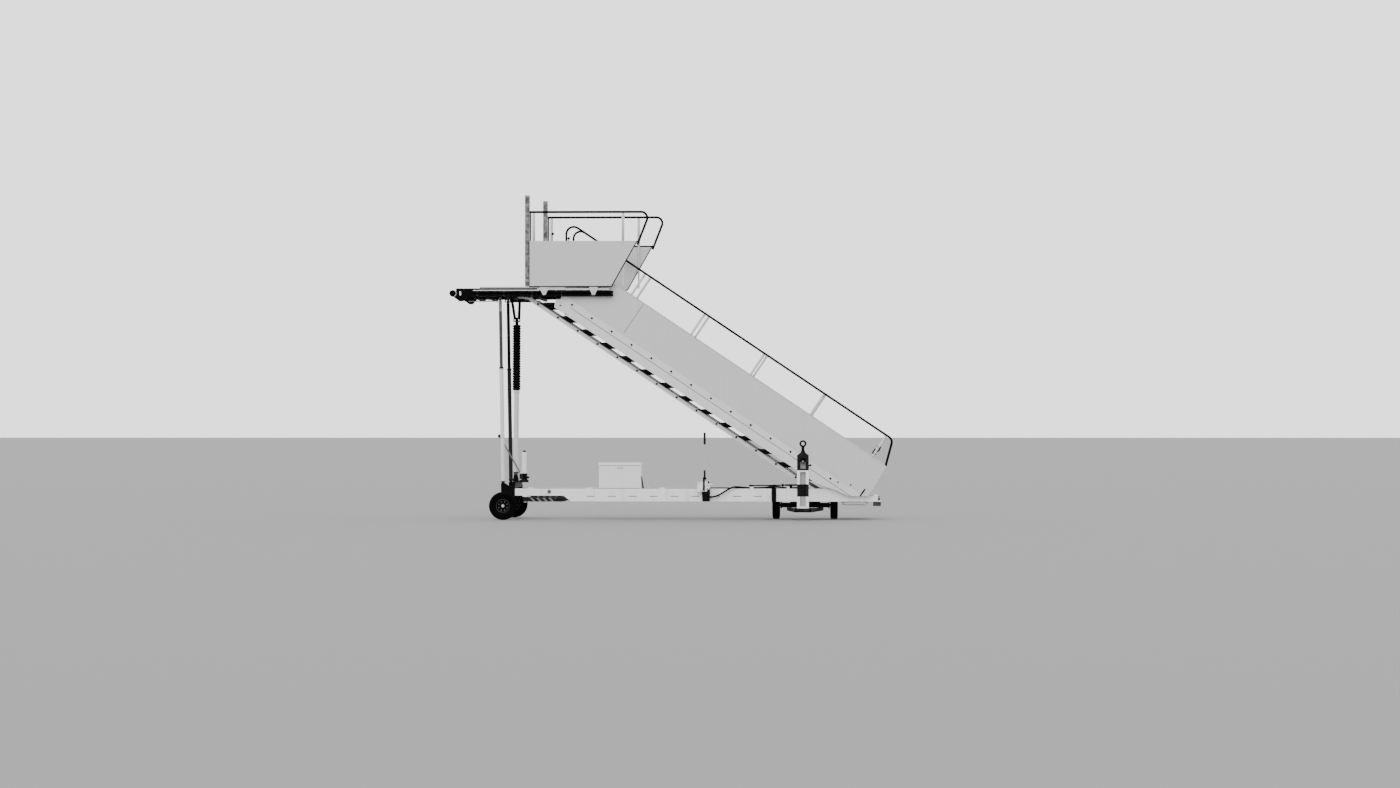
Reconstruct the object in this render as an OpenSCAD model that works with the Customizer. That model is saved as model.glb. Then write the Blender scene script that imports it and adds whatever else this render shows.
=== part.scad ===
// Mobile aircraft stairs, towed by hand or tractor, with a hand-pumped lift.
// +X points to the foot of the stairs, -Y to the near side and +Z up.
// The origin is on the ground below the middle of the rear axle.

/* [Wheels and axles] */
// Outer diameter of every tyre
tyre_d = 415; // [380:1:440]
// Width of every tyre
tyre_w = 112; // [90:1:130]
// Diameter of the rim where the tyre bead sits
rim_d = 203; // [180:1:230]
// Distance between the middles of the rear tyres
rear_track = 1780; // [1740:10:1900]
// Distance from the rear axle to the steering pivot
wheelbase = 4460; // [4440:10:4500]
// Distance between the middles of the steered tyres
front_track = 866; // [820:2:880]
// Diameter of the stub axles
stub_d = 40; // [30:1:50]

/* [Chassis] */
// Distance across the outer faces of the two side beams
chassis_w = 1320; // [1300:2:1324]
// Width of the flanges of a side beam
beam_w = 60; // [40:1:64]
// Wall thickness of a side beam
beam_t = 6; // [4:1:9]
// Height of the underside of the side beams
beam_bottom = 271; // [262:1:290]
// Height of the top of the side beams
beam_top = 462; // [456:1:468]
// Underside of the side beams above the stabiliser arms
beam_step = 358; // [350:1:370]
// Height of the top of the beams beyond the bottom hinge
tail_top = 354; // [340:1:362]
// Place of the free end of the side beams
tail_end = 5550; // [5500:10:5600]

/* [Flight of stairs] */
// Angle of the flight as the stairs stand
lift_deg = 33.9; // [33:0.1:34.5]
// Distance between two steps along the flight
step_pitch = 355.7; // [345:0.1:365]
// Number of moving steps
step_count = 14; // [10:1:14]
// Distance between the two pivots of a step
link_x = 517; // [500:1:530]
// Drop from the rear pivot of a step to its front pivot
link_drop = 16; // [8:1:24]
// Depth of a tread from its back edge to its nose
tread_depth = 350; // [330:1:370]
// Distance across the outer faces of the stair cheeks
flight_w = 1440; // [1436:1:1446]
// Height of the cheek panels above the tie bars, across the slope
cheek_rise = 886; // [800:2:920]
// Height of the handrail above the tie bars, across the slope
rail_rise = 1270; // [1200:2:1300]
// Diameter of the handrail tube
rail_d = 32; // [26:1:38]

/* [Platform] */
// Height of the deck above the ground
deck_z = 3460; // [3455:1:3480]
// Place of the front edge of the fixed deck
deck_front = -360; // [-400:5:-320]
// Place of the back edge of the fixed deck, where the stairs begin
deck_back = 530; // [480:5:560]
// Distance across the outer faces of the platform rails
platform_w = 1570; // [1560:2:1600]
// Place of the back end of the platform rails
platform_back = 1624; // [1560:2:1680]
// Height of the top bar of the platform guards
guard_z = 4570; // [4500:5:4650]
// How far the far guard stands behind the near one
far_shift = 140; // [0:5:200]

/* [Lift] */
// Outer diameter of the lift cylinder
barrel_d = 76; // [64:1:90]
// Diameter of the lift rod
lift_rod_d = 50; // [36:1:60]
// Outer diameter of the bellows
bellows_d = 130; // [110:1:140]
// Outer diameter of the guide struts
strut_d = 60; // [54:1:70]
// Diameter of the inner tubes of the guide struts
strut_rod_d = 48; // [40:1:52]

/* [Tow bar] */
// Distance from the steering pivot to the hinge of the tow bar
hitch_r = 1650; // [1630:5:1700]
// Height of the hinge of the tow bar
hitch_z = 165; // [155:1:175]
// Width of the tow bar
tow_w = 170; // [140:2:180]
// Distance from the hinge to the middle of the tow eye
tow_len = 967; // [900:1:1000]
// Diameter of the hole in the tow eye
eye_d = 50; // [38:1:54]

/* [Hidden] */
$fn = 48;
run_fit = 0.05;
seat = 0.3;
gap = 10;
slide_gap = 5;

white = "whitesmoke";
black = "#1a1a1c";
rubber = "#141414";
steel = "silver";
grey = "#8c8f92";

// The flight's own axes: a runs down the slope, n stands across it.
ca = cos(lift_deg);
sa = sin(lift_deg);
bolt0 = [789, 3010];
function flight(a, n) = [bolt0[0] + a * ca + n * sa, bolt0[1] - a * sa + n * ca];
// The point of the line n that has a given x or z
function flight_x(x, n) = flight((x - bolt0[0] - n * sa) / ca, n);
function flight_z(z, n) = flight((bolt0[1] + n * ca - z) / sa, n);

// Pivots of the self-levelling linkage, as [x, z]
link = [link_x, -link_drop];
top_pivot = [810, 3308];
foot_pivot = [5174, 426];
top_tie_pivot = top_pivot - link;
foot_tie_pivot = foot_pivot - link;
function rear_pin(k) = flight((k - 1) * step_pitch, 0);
function front_pin(k) = rear_pin(k) + link;

// Half widths of the layers, from the outside of the machine inwards
rail_out = platform_w / 2;
rail_in = rail_out - 50;
cheek_out = flight_w / 2;
cheek_in = cheek_out - 50;
beam_out = chassis_w / 2;
beam_in = beam_out - beam_w;
tie_t = 30;
tie_out = beam_in - 15;
tie_in = tie_out - tie_t;
carrier_t = 8;
carrier_out = tie_in - gap;
carrier_in = carrier_out - carrier_t;
pin_r = 11;
pivot_r = 14;
strut_y = (beam_out + beam_in) / 2;

// Stabiliser arms under the front of the side beams
swing_x = 306;
arm_low = 267;
arm_high = 335;

axle_z = tyre_d / 2;
platform_bottom = 3317;
platform_top = 3402;

// Helpers: profiles are drawn in the X-Z plane and given a span in Y.
module side_plate(points, y0, y1) {
    translate([0, y1, 0]) rotate([90, 0, 0]) linear_extrude(y1 - y0) polygon(points);
}

module pin_y(p, r, y0, y1) {
    translate([p[0], y1, p[1]]) rotate([90, 0, 0]) cylinder(r = r, h = y1 - y0);
}

// A profile in the Y-Z plane, run along X
module long_bar(points, x0, x1) {
    translate([x0, 0, 0]) rotate([90, 0, 90]) linear_extrude(x1 - x0) polygon(points);
}

module block(x0, x1, y0, y1, z0, z1) {
    translate([x0, y0, z0]) cube([x1 - x0, y1 - y0, z1 - z0]);
}

module both_sides() {
    children();
    mirror([0, 1, 0]) children();
}

module far_side() {
    mirror([0, 1, 0]) children();
}

// A round bar or tube between two points of one side plane
module bar(p, q, d, y, inner = 0) {
    v = q - p;
    translate([p[0], y, p[1]]) rotate([0, 90 - atan2(v[1], v[0]), 0])
        difference() {
            cylinder(d = d, h = norm(v));
            if (inner > 0) translate([0, 0, -1]) cylinder(d = inner, h = norm(v) + 2);
        }
}

function unit(v) = v / norm(v);

// Length that a bend of radius r takes off each run at corner i
function bend_cut(pts, i, r) =
    r / tan(acos(unit(pts[i - 1] - pts[i]) * unit(pts[i + 1] - pts[i])) / 2);

// A bent round bar in the plane y: straight runs joined by bends of radius r.
// Each bend is a little thicker and longer than its arc, as a drawn tube's is.
module bent_bar(pts, r, d, y) {
    n = len(pts);
    collar = 0.2;
    lap = 1;
    for (i = [1 : n - 2]) {
        u = unit(pts[i - 1] - pts[i]);
        w = unit(pts[i + 1] - pts[i]);
        half = acos(u * w) / 2;
        middle = pts[i] + unit(u + w) * r / sin(half);
        turn = 180 - 2 * half;
        out = pts[i] - middle;
        start = atan2(out[1], out[0]) - turn / 2;
        translate([middle[0], y, middle[1]]) rotate([90, 0, 0]) rotate([0, 0, start - lap])
            rotate_extrude(angle = turn + 2 * lap) translate([r, 0]) circle(d = d + collar);
    }
    for (i = [0 : n - 2]) {
        v = unit(pts[i + 1] - pts[i]);
        p = pts[i] + v * (i == 0 ? 0 : bend_cut(pts, i, r));
        q = pts[i + 1] - v * (i == n - 2 ? 0 : bend_cut(pts, i + 1, r));
        bar(p, q, d, y);
    }
}

// Wheels: drawn round Z and turned to their axle

module tyre_shape() {
    bead = rim_d / 2;
    crown = tyre_d / 2;
    half = tyre_w / 2;
    groove = 7;
    color(rubber) rotate_extrude($fn = 96) polygon([
        [bead, -half + 14], [bead + 12, -half + 8], [bead + 40, -half], [crown - 34, -half],
        [crown - 12, -half + 6], [crown - 1, -half + 20],
        [crown, -26], [crown - groove, -24], [crown - groove, -18], [crown, -16],
        [crown, -4], [crown - groove, -3], [crown - groove, 3], [crown, 4],
        [crown, 16], [crown - groove, 18], [crown - groove, 24], [crown, 26],
        [crown - 1, half - 20], [crown - 12, half - 6],
        [crown - 34, half], [bead + 40, half], [bead + 12, half - 8], [bead, half - 14]
    ]);
}

module rim_shape() {
    seat_r = rim_d / 2 - seat;
    half = tyre_w / 2 - 12;
    bore_r = stub_d / 2 + run_fit;
    dish = 6;
    stud_circle = 66;
    stud_count = 8;
    color(black) {
        rotate_extrude($fn = 96) polygon([
            [bore_r, -30], [38, -30], [44, -dish], [86, -dish + 4], [92, -half + 10],
            [seat_r, -half + 6], [seat_r, half - 4], [seat_r - 6, half - 2],
            [seat_r - 11, dish + 8], [44, dish], [40, 30], [26, 34], [24, 42], [0, 44], [0, 32], [bore_r, 32]
        ]);
        for (i = [0 : stud_count - 1]) rotate([0, 0, (i + 0.5) * 360 / stud_count])
            translate([stud_circle, 0, 0]) cylinder(r = 7, h = dish + 14, $fn = 24);
    }
}

// A wheel with its outer face towards -Y
module to_near(y) {
    translate([0, y, axle_z]) rotate([90, 0, 0]) children();
}

module rear_tyre_near() to_near(-rear_track / 2) tyre_shape();
module rear_rim_near() to_near(-rear_track / 2) rim_shape();
module rear_tyre_far() far_side() rear_tyre_near();
module rear_rim_far() far_side() rear_rim_near();

// The bogie stands turned across the machine, so its axle runs along X.
module to_bogie(side) {
    translate([wheelbase + side * front_track / 2, 0, axle_z]) rotate([0, side * 90, 0]) children();
}

module front_tyre_rear() to_bogie(-1) tyre_shape();
module front_rim_rear() to_bogie(-1) rim_shape();
module front_tyre_fore() to_bogie(1) tyre_shape();
module front_rim_fore() to_bogie(1) rim_shape();

// Chassis

beam_nose = 157;
ramp_start = 875;
ramp_end = 996;
tail_step = 5190;

// Outline of a side beam, with its flanges moved in by t
function beam_outline(t) = [
    [beam_nose, beam_step + t], [ramp_start, beam_step + t], [ramp_end, beam_bottom + t],
    [tail_end, beam_bottom + t], [tail_end, tail_top - t], [tail_step + 60, tail_top - t],
    [tail_step, beam_top - t - 20], [tail_step - 20, beam_top - t], [beam_nose, beam_top - t]
];

cross_places = [300, 1200, 2300, wheelbase - 1160, wheelbase - 600, 5100];
junction_places = [3951];

module side_beam() {
    slot_z = 348;
    slot_len = 120;
    difference() {
        side_plate(beam_outline(0), -beam_out, -beam_in);
        side_plate([for (p = beam_outline(beam_t)) [p[0] == beam_nose ? p[0] + beam_t : p[0], p[1]]],
            -beam_out + beam_t, -beam_in + 1);
        for (x = [1230 : 310 : 3750])
            block(x, x + slot_len, -beam_out - 1, -beam_out + beam_t + 1, slot_z - 5, slot_z + 5);
    }
}

module chassis_frame() {
    ring_z = beam_top - 34;
    web_in = beam_out - beam_t;
    color(white) {
        both_sides() side_beam();
        for (x = cross_places)
            block(x - 30, x + 30, -web_in, web_in, beam_top - 90, beam_top - beam_t);
        difference() {
            block(wheelbase - 150, wheelbase + 45, -web_in, web_in, ring_z, beam_top - beam_t);
            translate([wheelbase, 0, ring_z - 1]) cylinder(r = 30 + run_fit, h = 60);
        }
        block(tail_end - 60, tail_end, -web_in, web_in, beam_bottom, tail_top);
        for (x = junction_places) block(x - 17, x + 17, -beam_out - 14, -beam_out, 345, 435);
        both_sides() {
            block(tail_end - 70, tail_end + 45, -beam_out, -beam_out + 8, beam_bottom - 66, beam_bottom + 18);
            block(foot_pivot[0] - 34, foot_pivot[0] + 34, -beam_out, -beam_in, tail_top, beam_top - 6);
            pin_y(foot_pivot, pivot_r, -cheek_out - 6, -beam_out + 1);
            pin_y(foot_tie_pivot, pivot_r, -beam_out + 1, -tie_in + 5);
            block(swing_x - 36, swing_x + 36, -beam_out, -beam_in, beam_step - 18, beam_step);
            translate([swing_x, -strut_y, arm_low - 12]) {
                cylinder(r = pin_r + 1, h = beam_step - arm_low);
                cylinder(r = 24, h = 12 - seat);
            }
        }
    }
}

module fixed_steps() {
    upper_half = beam_out - beam_t - seat;
    upper_top = beam_top - beam_t - seat;
    step_bottom = 201;
    wall = 30;
    low_back = foot_pivot[0] - 164;
    low_nose = foot_pivot[0] + 224;
    color(grey) {
        difference() {
            block(foot_tie_pivot[0] + 45, foot_pivot[0] - 114, -upper_half, upper_half, 429, upper_top);
            block(foot_tie_pivot[0] + 75, foot_pivot[0] - 144, -upper_half + 40, upper_half - 40,
                428, upper_top - 6);
        }
        difference() {
            block(low_back, low_nose, -beam_in, beam_in, step_bottom, beam_bottom);
            block(low_back + wall, low_nose - wall, -beam_in - 1, beam_in + 1,
                step_bottom + 14, beam_bottom - 14);
        }
    }
}

// Rear axle with the arms that carry the lift

strut_foot = [-22, 517];
strut_head = [-68, 3296];
barrel_foot = [111, 640];
barrel_head = [124, 2985];

module rear_axle() {
    arm = [
        [-45, 165], [55, 165], [beam_nose, beam_step], [beam_nose, 500], [66, 500],
        [10, 540], [-55, 540]
    ];
    color(white) {
        both_sides() {
            difference() {
                side_plate(arm, -beam_out, -beam_in);
                block(-80, 40, -beam_out + 15, -beam_in - 15, 480, 545);
            }
            pin_y(strut_foot, pin_r, -beam_out + 1, -beam_in - 1);
        }
        block(-40, 40, -beam_in, beam_in, axle_z - 40, axle_z + 40);
        both_sides() {
            block(-40, 40, -rear_track / 2 + tyre_w / 2 + 8, -beam_out, axle_z - 40, axle_z + 40);
            pin_y([0, axle_z], stub_d / 2, -rear_track / 2 - 29, -rear_track / 2 + tyre_w / 2 + 8);
        }
        block(66, 156, -beam_in, beam_in, 470, 560);
        block(150, 300, -60, 40, 546, 560);
        both_sides() difference() {
            side_plate([[70, 560], [152, 560], [140, 660], [82, 660]], -52, -40);
            pin_y(barrel_foot, pivot_r - 1, -60, -30);
        }
        pin_y(barrel_foot, pivot_r, -56, 56);
    }
}

// Tool box on the near beam, with a lid hinged along its inner edge
box_back = 1408;
box_front = 2035;
box_in = 260;
box_top = 830;
box_wall = 3;
lid_lip = 18;
handle_x = 1720;
handle_z = 778;
hinge_r = 8;
lid_hinge = [-box_in + hinge_r + 2, box_top + hinge_r];
knuckles = [[1440, 1500], [1690, 1750], [1940, 2000]];
lid_knuckles = [[1503, 1560], [1880, 1937]];

module along_x(p, r, x0, x1) {
    translate([x0, p[0], p[1]]) rotate([0, 90, 0]) cylinder(r = r, h = x1 - x0);
}

module tool_box() {
    color(white) {
        difference() {
            block(box_back, box_front, -beam_out, -box_in, beam_top, box_top);
            block(box_back + box_wall, box_front - box_wall, -beam_out + box_wall, -box_in - box_wall,
                beam_top + box_wall, box_top + 1);
        }
        block(handle_x - 52, handle_x + 52, -beam_out - 5, -beam_out, handle_z - 14, handle_z + 14);
        side_plate([[box_front + 18, beam_top], [box_front + 44, beam_top], [box_front + 14, box_top - 180],
            [box_front, box_top - 180], [box_front, box_top - 210]], -beam_out, -beam_out + 30);
        for (x = knuckles) {
            along_x(lid_hinge, hinge_r, x[0], x[1]);
            block(x[0], x[1], -box_in - 1, lid_hinge[0], box_top - 20, lid_hinge[1] - 2);
        }
        along_x(lid_hinge, hinge_r / 2, knuckles[0][0], knuckles[2][1]);
    }
}

module box_lid() {
    lip = 2;
    edge = slide_gap + lip;
    color(white) difference() {
        union() {
            block(box_back - edge, box_front + edge, -beam_out - edge, -box_in - 2,
                box_top + seat, box_top + 14);
            block(box_back - edge, box_front + edge, -beam_out - edge, -box_in - 2,
                box_top - lid_lip, box_top + 1);
            for (x = lid_knuckles) {
                along_x(lid_hinge, hinge_r, x[0], x[1]);
                block(x[0], x[1], -box_in - 3, lid_hinge[0], lid_hinge[1] - 2, box_top + 14);
            }
        }
        block(box_back - slide_gap, box_front + slide_gap, -beam_out - slide_gap, -box_in + 1,
            box_top - lid_lip - 1, box_top + seat);
        along_x(lid_hinge, hinge_r / 2 + run_fit, box_back, box_front);
        for (x = knuckles)
            block(x[0] - 2, x[1] + 2, -box_in - 6, -box_in + 1, box_top - 1, box_top + 15);
    }
}

// Pedestal with the lever that works the lift's valve
module lever_pedestal() {
    lever_x = 2985;
    lever_y = -beam_out - 90;
    face = -beam_out - 100;
    color(white) {
        block(2874, 2945, face + 10, -beam_out, 414, 561);
        block(2945, 3020, face, -beam_out, 320, 600);
        block(3020, 3060, -beam_out - 60, -beam_out, 300, 580);
        block(2880, 3060, -beam_out - 12, -beam_out, beam_bottom, 330);
        pin_y([2966, 470], 17, face - 16, face + 1);
        pin_y([2996, 395], 13, face - 20, face + 1);
        pin_y([3046, 395], 20, -beam_out - 84, -beam_out - 59);
        pin_y([3046, 395], 9, -beam_out - 96, -beam_out - 83);
        along_x([-beam_out - 34, 520], 16, 3058, 3086);
        along_x([-beam_out - 34, 520], 9, 3085, 3100);
    }
    color(black) {
        bar([lever_x, 590], [lever_x, 738], 28, lever_y);
        bar([lever_x, 730], [lever_x, 1130], 15, lever_y);
        bar([lever_x, 1119], [lever_x, 1294], 34, lever_y);
    }
}

module hand_pump() {
    y = -10;
    tank_x = 238;
    socket = [195, 670];
    ball = [-130, 1242];
    lever_y = -80;
    color(black) {
        block(166, 300, -60, 40, 560, 584);
        translate([tank_x, y, 583]) cylinder(d = 92, h = 97);
        block(172, 216, lever_y - 12, -30, 596, 700);
        pin_y(socket, 20, lever_y - 24, lever_y + 13);
        pin_y([268, 640], 16, -72, -30);
        along_x([y, 620], 15, 270, 312);
    }
    color(white) {
        translate([tank_x, y, 680]) cylinder(d = 75, h = 320);
        translate([tank_x, y, 700]) cylinder(d = 82, h = 14);
        translate([tank_x, y, 940]) cylinder(d = 82, h = 14);
    }
    color(black) translate([tank_x, y, 1000]) cylinder(d = 44, h = 26);
    color(steel) bar(socket, ball, 22, lever_y);
    color(black) translate([ball[0], lever_y, ball[1]]) sphere(d = 54);
}

// Brake lever lying on the near beam, on a bracket that hooks over it
module brake_lever() {
    y0 = -beam_in - 24;
    y1 = -beam_in - 2;
    face = -beam_out - seat;
    color(black) {
        block(3976, 4044, face - 12, face, beam_bottom, beam_top + 14);
        block(3976, 4044, face - 1, y1, beam_top + seat, beam_top + 14);
        block(4000, 4022, y0, y1, beam_top + 13, 524);
        bar([3690, 508], [4300, 516], 18, (y0 + y1) / 2);
        bar([3640, 507], [3700, 508], 26, (y0 + y1) / 2);
        bar([4170, 514], [4360, 516], 26, (y0 + y1) / 2);
        translate([4140, (y0 + y1) / 2, 514]) sphere(d = 42);
        block(4240, 4280, y0, y1, beam_top + seat, 510);
    }
}

// Hose from the pedestal over the near beam to the bogie, held by clips all the way.
// Its points are given as x, distance outside the beam's face and height above the beam.
hose_d = 24;
hose_low = hose_d / 2 + seat;
hose_points = [
    [3061 + seat, 40, -122], [3100, 42, -120], [3150, 44, -110], [3200, 46, -90], [3250, 48, -62],
    [3300, 46, -30], [3350, 38, 0], [3400, 24, 20], [3450, 8, 26], [3500, -4, 24],
    [3560, -12, 18], [3630, -15, hose_low], [3710, -15, hose_low], [3800, -15, hose_low], [3900, -15, 20],
    [3950, -15, 28], [4010, -15, 29], [4070, -15, 28], [4120, -15, 20], [4190, -15, hose_low],
    [4280, -15, hose_low], [4360, -15, hose_low], [wheelbase - 20, -15, hose_low]
];
hose_route = [for (p = hose_points) [p[0], -beam_out - p[1], beam_top + p[2]]];

function tangent(pts, i) =
    unit(pts[min(i + 1, len(pts) - 1)] - pts[max(i - 1, 0)]);

module swept_tube(pts, d, sides) {
    n = len(pts);
    rings = [for (i = [0 : n - 1])
        let (t = tangent(pts, i), u = unit(cross(t, [0, 0, 1])), w = cross(u, t))
        for (j = [0 : sides - 1])
            pts[i] + d / 2 * (cos(j * 360 / sides) * u + sin(j * 360 / sides) * w)];
    polyhedron(
        points = rings,
        faces = concat(
            [[for (j = [0 : sides - 1]) j]],
            [for (i = [0 : n - 2]) for (j = [0 : sides - 1])
                let (k = (j + 1) % sides)
                [i * sides + j, (i + 1) * sides + j, (i + 1) * sides + k, i * sides + k]],
            [[for (j = [sides - 1 : -1 : 0]) (n - 1) * sides + j]]
        )
    );
}

module hydraulic_hose() color(black) swept_tube(hose_route, hose_d, 8);

// Round lamps on the tail and round reflectors on the beams
module end_lamps() {
    lamp_d = 56;
    reflector_x = 666;
    color("gainsboro") both_sides() {
        translate([tail_end, -beam_out + 45, 312]) rotate([0, 90, 0]) {
            cylinder(d = lamp_d, h = 12);
            translate([0, 0, 12]) cylinder(d1 = lamp_d - 4, d2 = lamp_d - 16, h = 21);
        }
        pin_y([reflector_x, 416], 27, -beam_out - 7, -beam_out);
    }
}

// Steering bogie

tow_pin_r = 14;

module steer_axle() {
    arm_z = 152;
    arm_half = 106;
    arm_t = 24;
    hub_in = front_track / 2 - tyre_w / 2 - 8;
    ring_top = beam_top - 34 - seat;
    plate_t = 14;
    drum_r = 92;
    color(black) {
        translate([wheelbase, 0, 0]) {
            block(-hub_in, hub_in, -35, 35, axle_z - 35, axle_z + 35);
            for (s = [-1, 1]) {
                translate([s * hub_in, 0, axle_z]) rotate([0, s * 90, 0])
                    cylinder(d = stub_d, h = tyre_w / 2 + 37);
                translate([s * (hub_in - 22), 0, axle_z]) rotate([0, s * 90, 0]) cylinder(r = 50, h = 20);
                block(s * 250 - 25, s * 250 + 25, -35, 35, arm_z - 25, axle_z - 34);
            }
            translate([0, 0, axle_z + 35]) cylinder(r = drum_r, h = ring_top - 2 * plate_t - 8 - axle_z - 35);
            translate([0, 0, ring_top - 2 * plate_t - 8]) cylinder(r = 176, h = plate_t);
            translate([0, 0, ring_top - plate_t - 8]) cylinder(r = 150, h = 8);
            translate([0, 0, ring_top - plate_t]) cylinder(r = 190, h = plate_t);
            translate([0, 0, ring_top]) cylinder(r = 30, h = 26);
            for (s = [-1, 1]) side_plate([[s * (drum_r - 4), axle_z + 34], [s * 230, axle_z + 34],
                [s * 150, ring_top - 2 * plate_t - 7],
                [s * (drum_r - 4), ring_top - 2 * plate_t - 7]], -8, 8);
            block(-arm_half - 16, arm_half + 16, -hitch_r + 62, -hitch_r + 112, arm_z - 24, arm_z + 24);
            block(-235, 235, -330, -290, arm_z - 20, arm_z + 20);
        }
        for (s = [-1, 1]) translate([wheelbase, 0, 0]) hull() {
            translate([s * 250 - 25, -35, arm_z - 25]) cube([50, 10, 50]);
            translate([s * arm_half - arm_t / 2, -hitch_r + 60, arm_z - 25]) cube([arm_t, 10, 50]);
        }
        for (s = [-1, 1]) difference() {
            hull() {
                translate([wheelbase + s * arm_half - arm_t / 2, -hitch_r + 60, arm_z - 25])
                    cube([arm_t, 10, 50]);
                translate([wheelbase + s * arm_half - arm_t / 2, -hitch_r, hitch_z]) rotate([0, 90, 0])
                    cylinder(r = 30, h = arm_t, $fn = 32);
            }
            translate([wheelbase - 200, -hitch_r, hitch_z]) rotate([0, 90, 0])
                cylinder(r = tow_pin_r + run_fit, h = 400);
        }
    }
}

// Tow bar: a lipped channel that opens towards -Y as it stands, with a chamfered head
tow_depth = 70;
head_z = 743;
head_full = 964;
head_top = 1003;

module tow_bar() {
    half = tow_w / 2;
    wall = 9;
    lip = 42;
    front = -hitch_r - tow_depth / 2;
    window_half = 40;
    color(white) {
        difference() {
            union() {
                translate([wheelbase, 0, 0]) rotate([90, 0, 0]) translate([0, 0, hitch_r - tow_depth / 2])
                    linear_extrude(tow_depth) polygon([
                        [-half, hitch_z], [half, hitch_z], [half, head_full], [35, head_top],
                        [-35, head_top], [-half, head_full]
                    ]);
                along_x([-hitch_r, hitch_z], tow_depth / 2, wheelbase - half, wheelbase + half);
            }
            block(wheelbase - half + wall, wheelbase + half - wall,
                front + wall, -hitch_r + tow_depth / 2 - wall, hitch_z + 50, head_full - 20);
            block(wheelbase - half + lip, wheelbase + half - lip, front - 1, front + wall + 1,
                hitch_z + 50, head_z - 20);
            block(wheelbase - window_half, wheelbase + window_half, front - 1, front + wall + 1, 766, 925);
        }
        pin_y([wheelbase, 872], 27, hitch_r * -1 - 24, -hitch_r + tow_depth / 2 - wall + 1);
        along_x([-hitch_r, 811], 12, wheelbase + half - 1, wheelbase + half + 16);
        along_x([-hitch_r, hitch_z], tow_pin_r, wheelbase - 126, wheelbase + 126);
    }
}

module tow_eye() {
    z = hitch_z + tow_len;
    eye_t = 34;
    color(black) difference() {
        union() {
            translate([wheelbase, -hitch_r, head_top]) cylinder(r = 15, h = z - head_top - 40);
            translate([wheelbase, -hitch_r, head_top]) cylinder(r = 24, h = 22);
            translate([wheelbase, -hitch_r + eye_t / 2, z]) rotate([90, 0, 0]) cylinder(r = 52, h = eye_t);
        }
        translate([wheelbase, -hitch_r + 20, z]) rotate([90, 0, 0]) cylinder(d = eye_d, h = 40);
    }
}

// Flight: stringers, cheek panels and handrails

web_low = 98;
web_high = 330;
flight_top = -178;
cheek_end = 5296;
cheek_start = 905;
cheek_foot = [5412, 354];
cheek_t = 4;

module stringer() {
    flange_t = 8;
    low_cut = flight(4560, web_low);
    outline = [
        flight(flight_top + 60, web_low), flight(flight_top + 38, web_low + 42),
        flight(flight_top + 8, web_high - 76), flight(flight_top + 14, web_high - 40),
        flight(flight_top + 36, web_high - 12), flight(flight_top + 78, web_high),
        flight_z(cheek_foot[1], web_high),
        [foot_pivot[0] - 60, cheek_foot[1]], [foot_pivot[0] - 240, 440], low_cut
    ];
    difference() {
        union() {
            side_plate(outline, -cheek_out, -cheek_out + 8);
            side_plate([flight(0, web_low), flight(4560, web_low),
                flight(4560, web_low + flange_t), flight(0, web_low + flange_t)], -cheek_out, -cheek_in);
            side_plate([flight(60, web_high - flange_t), flight(4900, web_high - flange_t),
                flight(4900, web_high), flight(60, web_high)], -cheek_out, -cheek_in);
        }
        pin_y(top_pivot, pivot_r + run_fit, -cheek_out - 1, -cheek_in);
        pin_y(foot_pivot, pivot_r + run_fit, -cheek_out - 1, -cheek_in);
        for (k = [0 : step_count - 1]) pin_y(front_pin(k), pin_r + run_fit, -cheek_out - 1, -cheek_in);
    }
}

module stair_stringers() color(white) both_sides() stringer();

module cheek() {
    outline = [
        flight_x(cheek_start, web_high + seat), flight_x(cheek_start, cheek_rise),
        flight(cheek_end, cheek_rise), cheek_foot, flight_z(cheek_foot[1], web_high + seat)
    ];
    side_plate(outline, -cheek_out, -cheek_out + cheek_t);
}

module stair_cheeks() color(white) both_sides() cheek();

stanchions = [for (i = [0 : 3]) 730 + i * 3 * step_pitch];
post_d = rail_d - 4;

module handrail() {
    y = -cheek_out + cheek_t + seat + rail_d / 2;
    pts = [
        [cheek_start + 19, 3900], flight_x(cheek_start + 19, rail_rise),
        flight(cheek_end + 75, rail_rise), [5664, 790]
    ];
    bent_bar(pts, 110, rail_d, y);
}

module stanchion_row() {
    y = -cheek_out + cheek_t + seat + post_d / 2;
    for (a = concat(stanchions, [5040]))
        bar(flight(a, cheek_rise - 180), flight(a, rail_rise - rail_d / 2 - seat), post_d, y);
}

module stair_handrails() color(black) both_sides() handrail();
module rail_stanchions() color(white) both_sides() stanchion_row();

module tie_bar() {
    half = 31;
    head_z = 3310;
    foot_a = norm(foot_tie_pivot - bolt0);
    difference() {
        union() {
            side_plate([
                [192, head_z - 17], [330, head_z - 20], flight(-470, -half), flight(foot_a - 500, -half),
                foot_tie_pivot - [17, 22], foot_tie_pivot + [10, 22], flight(foot_a - 300, half),
                flight(-470, half), [192, head_z + 17]
            ], -tie_out, -tie_in);
            pin_y(top_tie_pivot, 30, -tie_out, -tie_in);
            pin_y(foot_tie_pivot, 30, -tie_out, -tie_in);
        }
        pin_y(top_tie_pivot, pivot_r + run_fit, -tie_out - 1, -tie_in + 1);
        pin_y(foot_tie_pivot, pivot_r + run_fit, -tie_out - 1, -tie_in + 1);
        for (k = [0 : step_count - 1]) pin_y(rear_pin(k), pin_r + run_fit, -tie_out - 1, -tie_in + 1);
    }
}

module tie_bars() color(white) both_sides() tie_bar();

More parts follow.
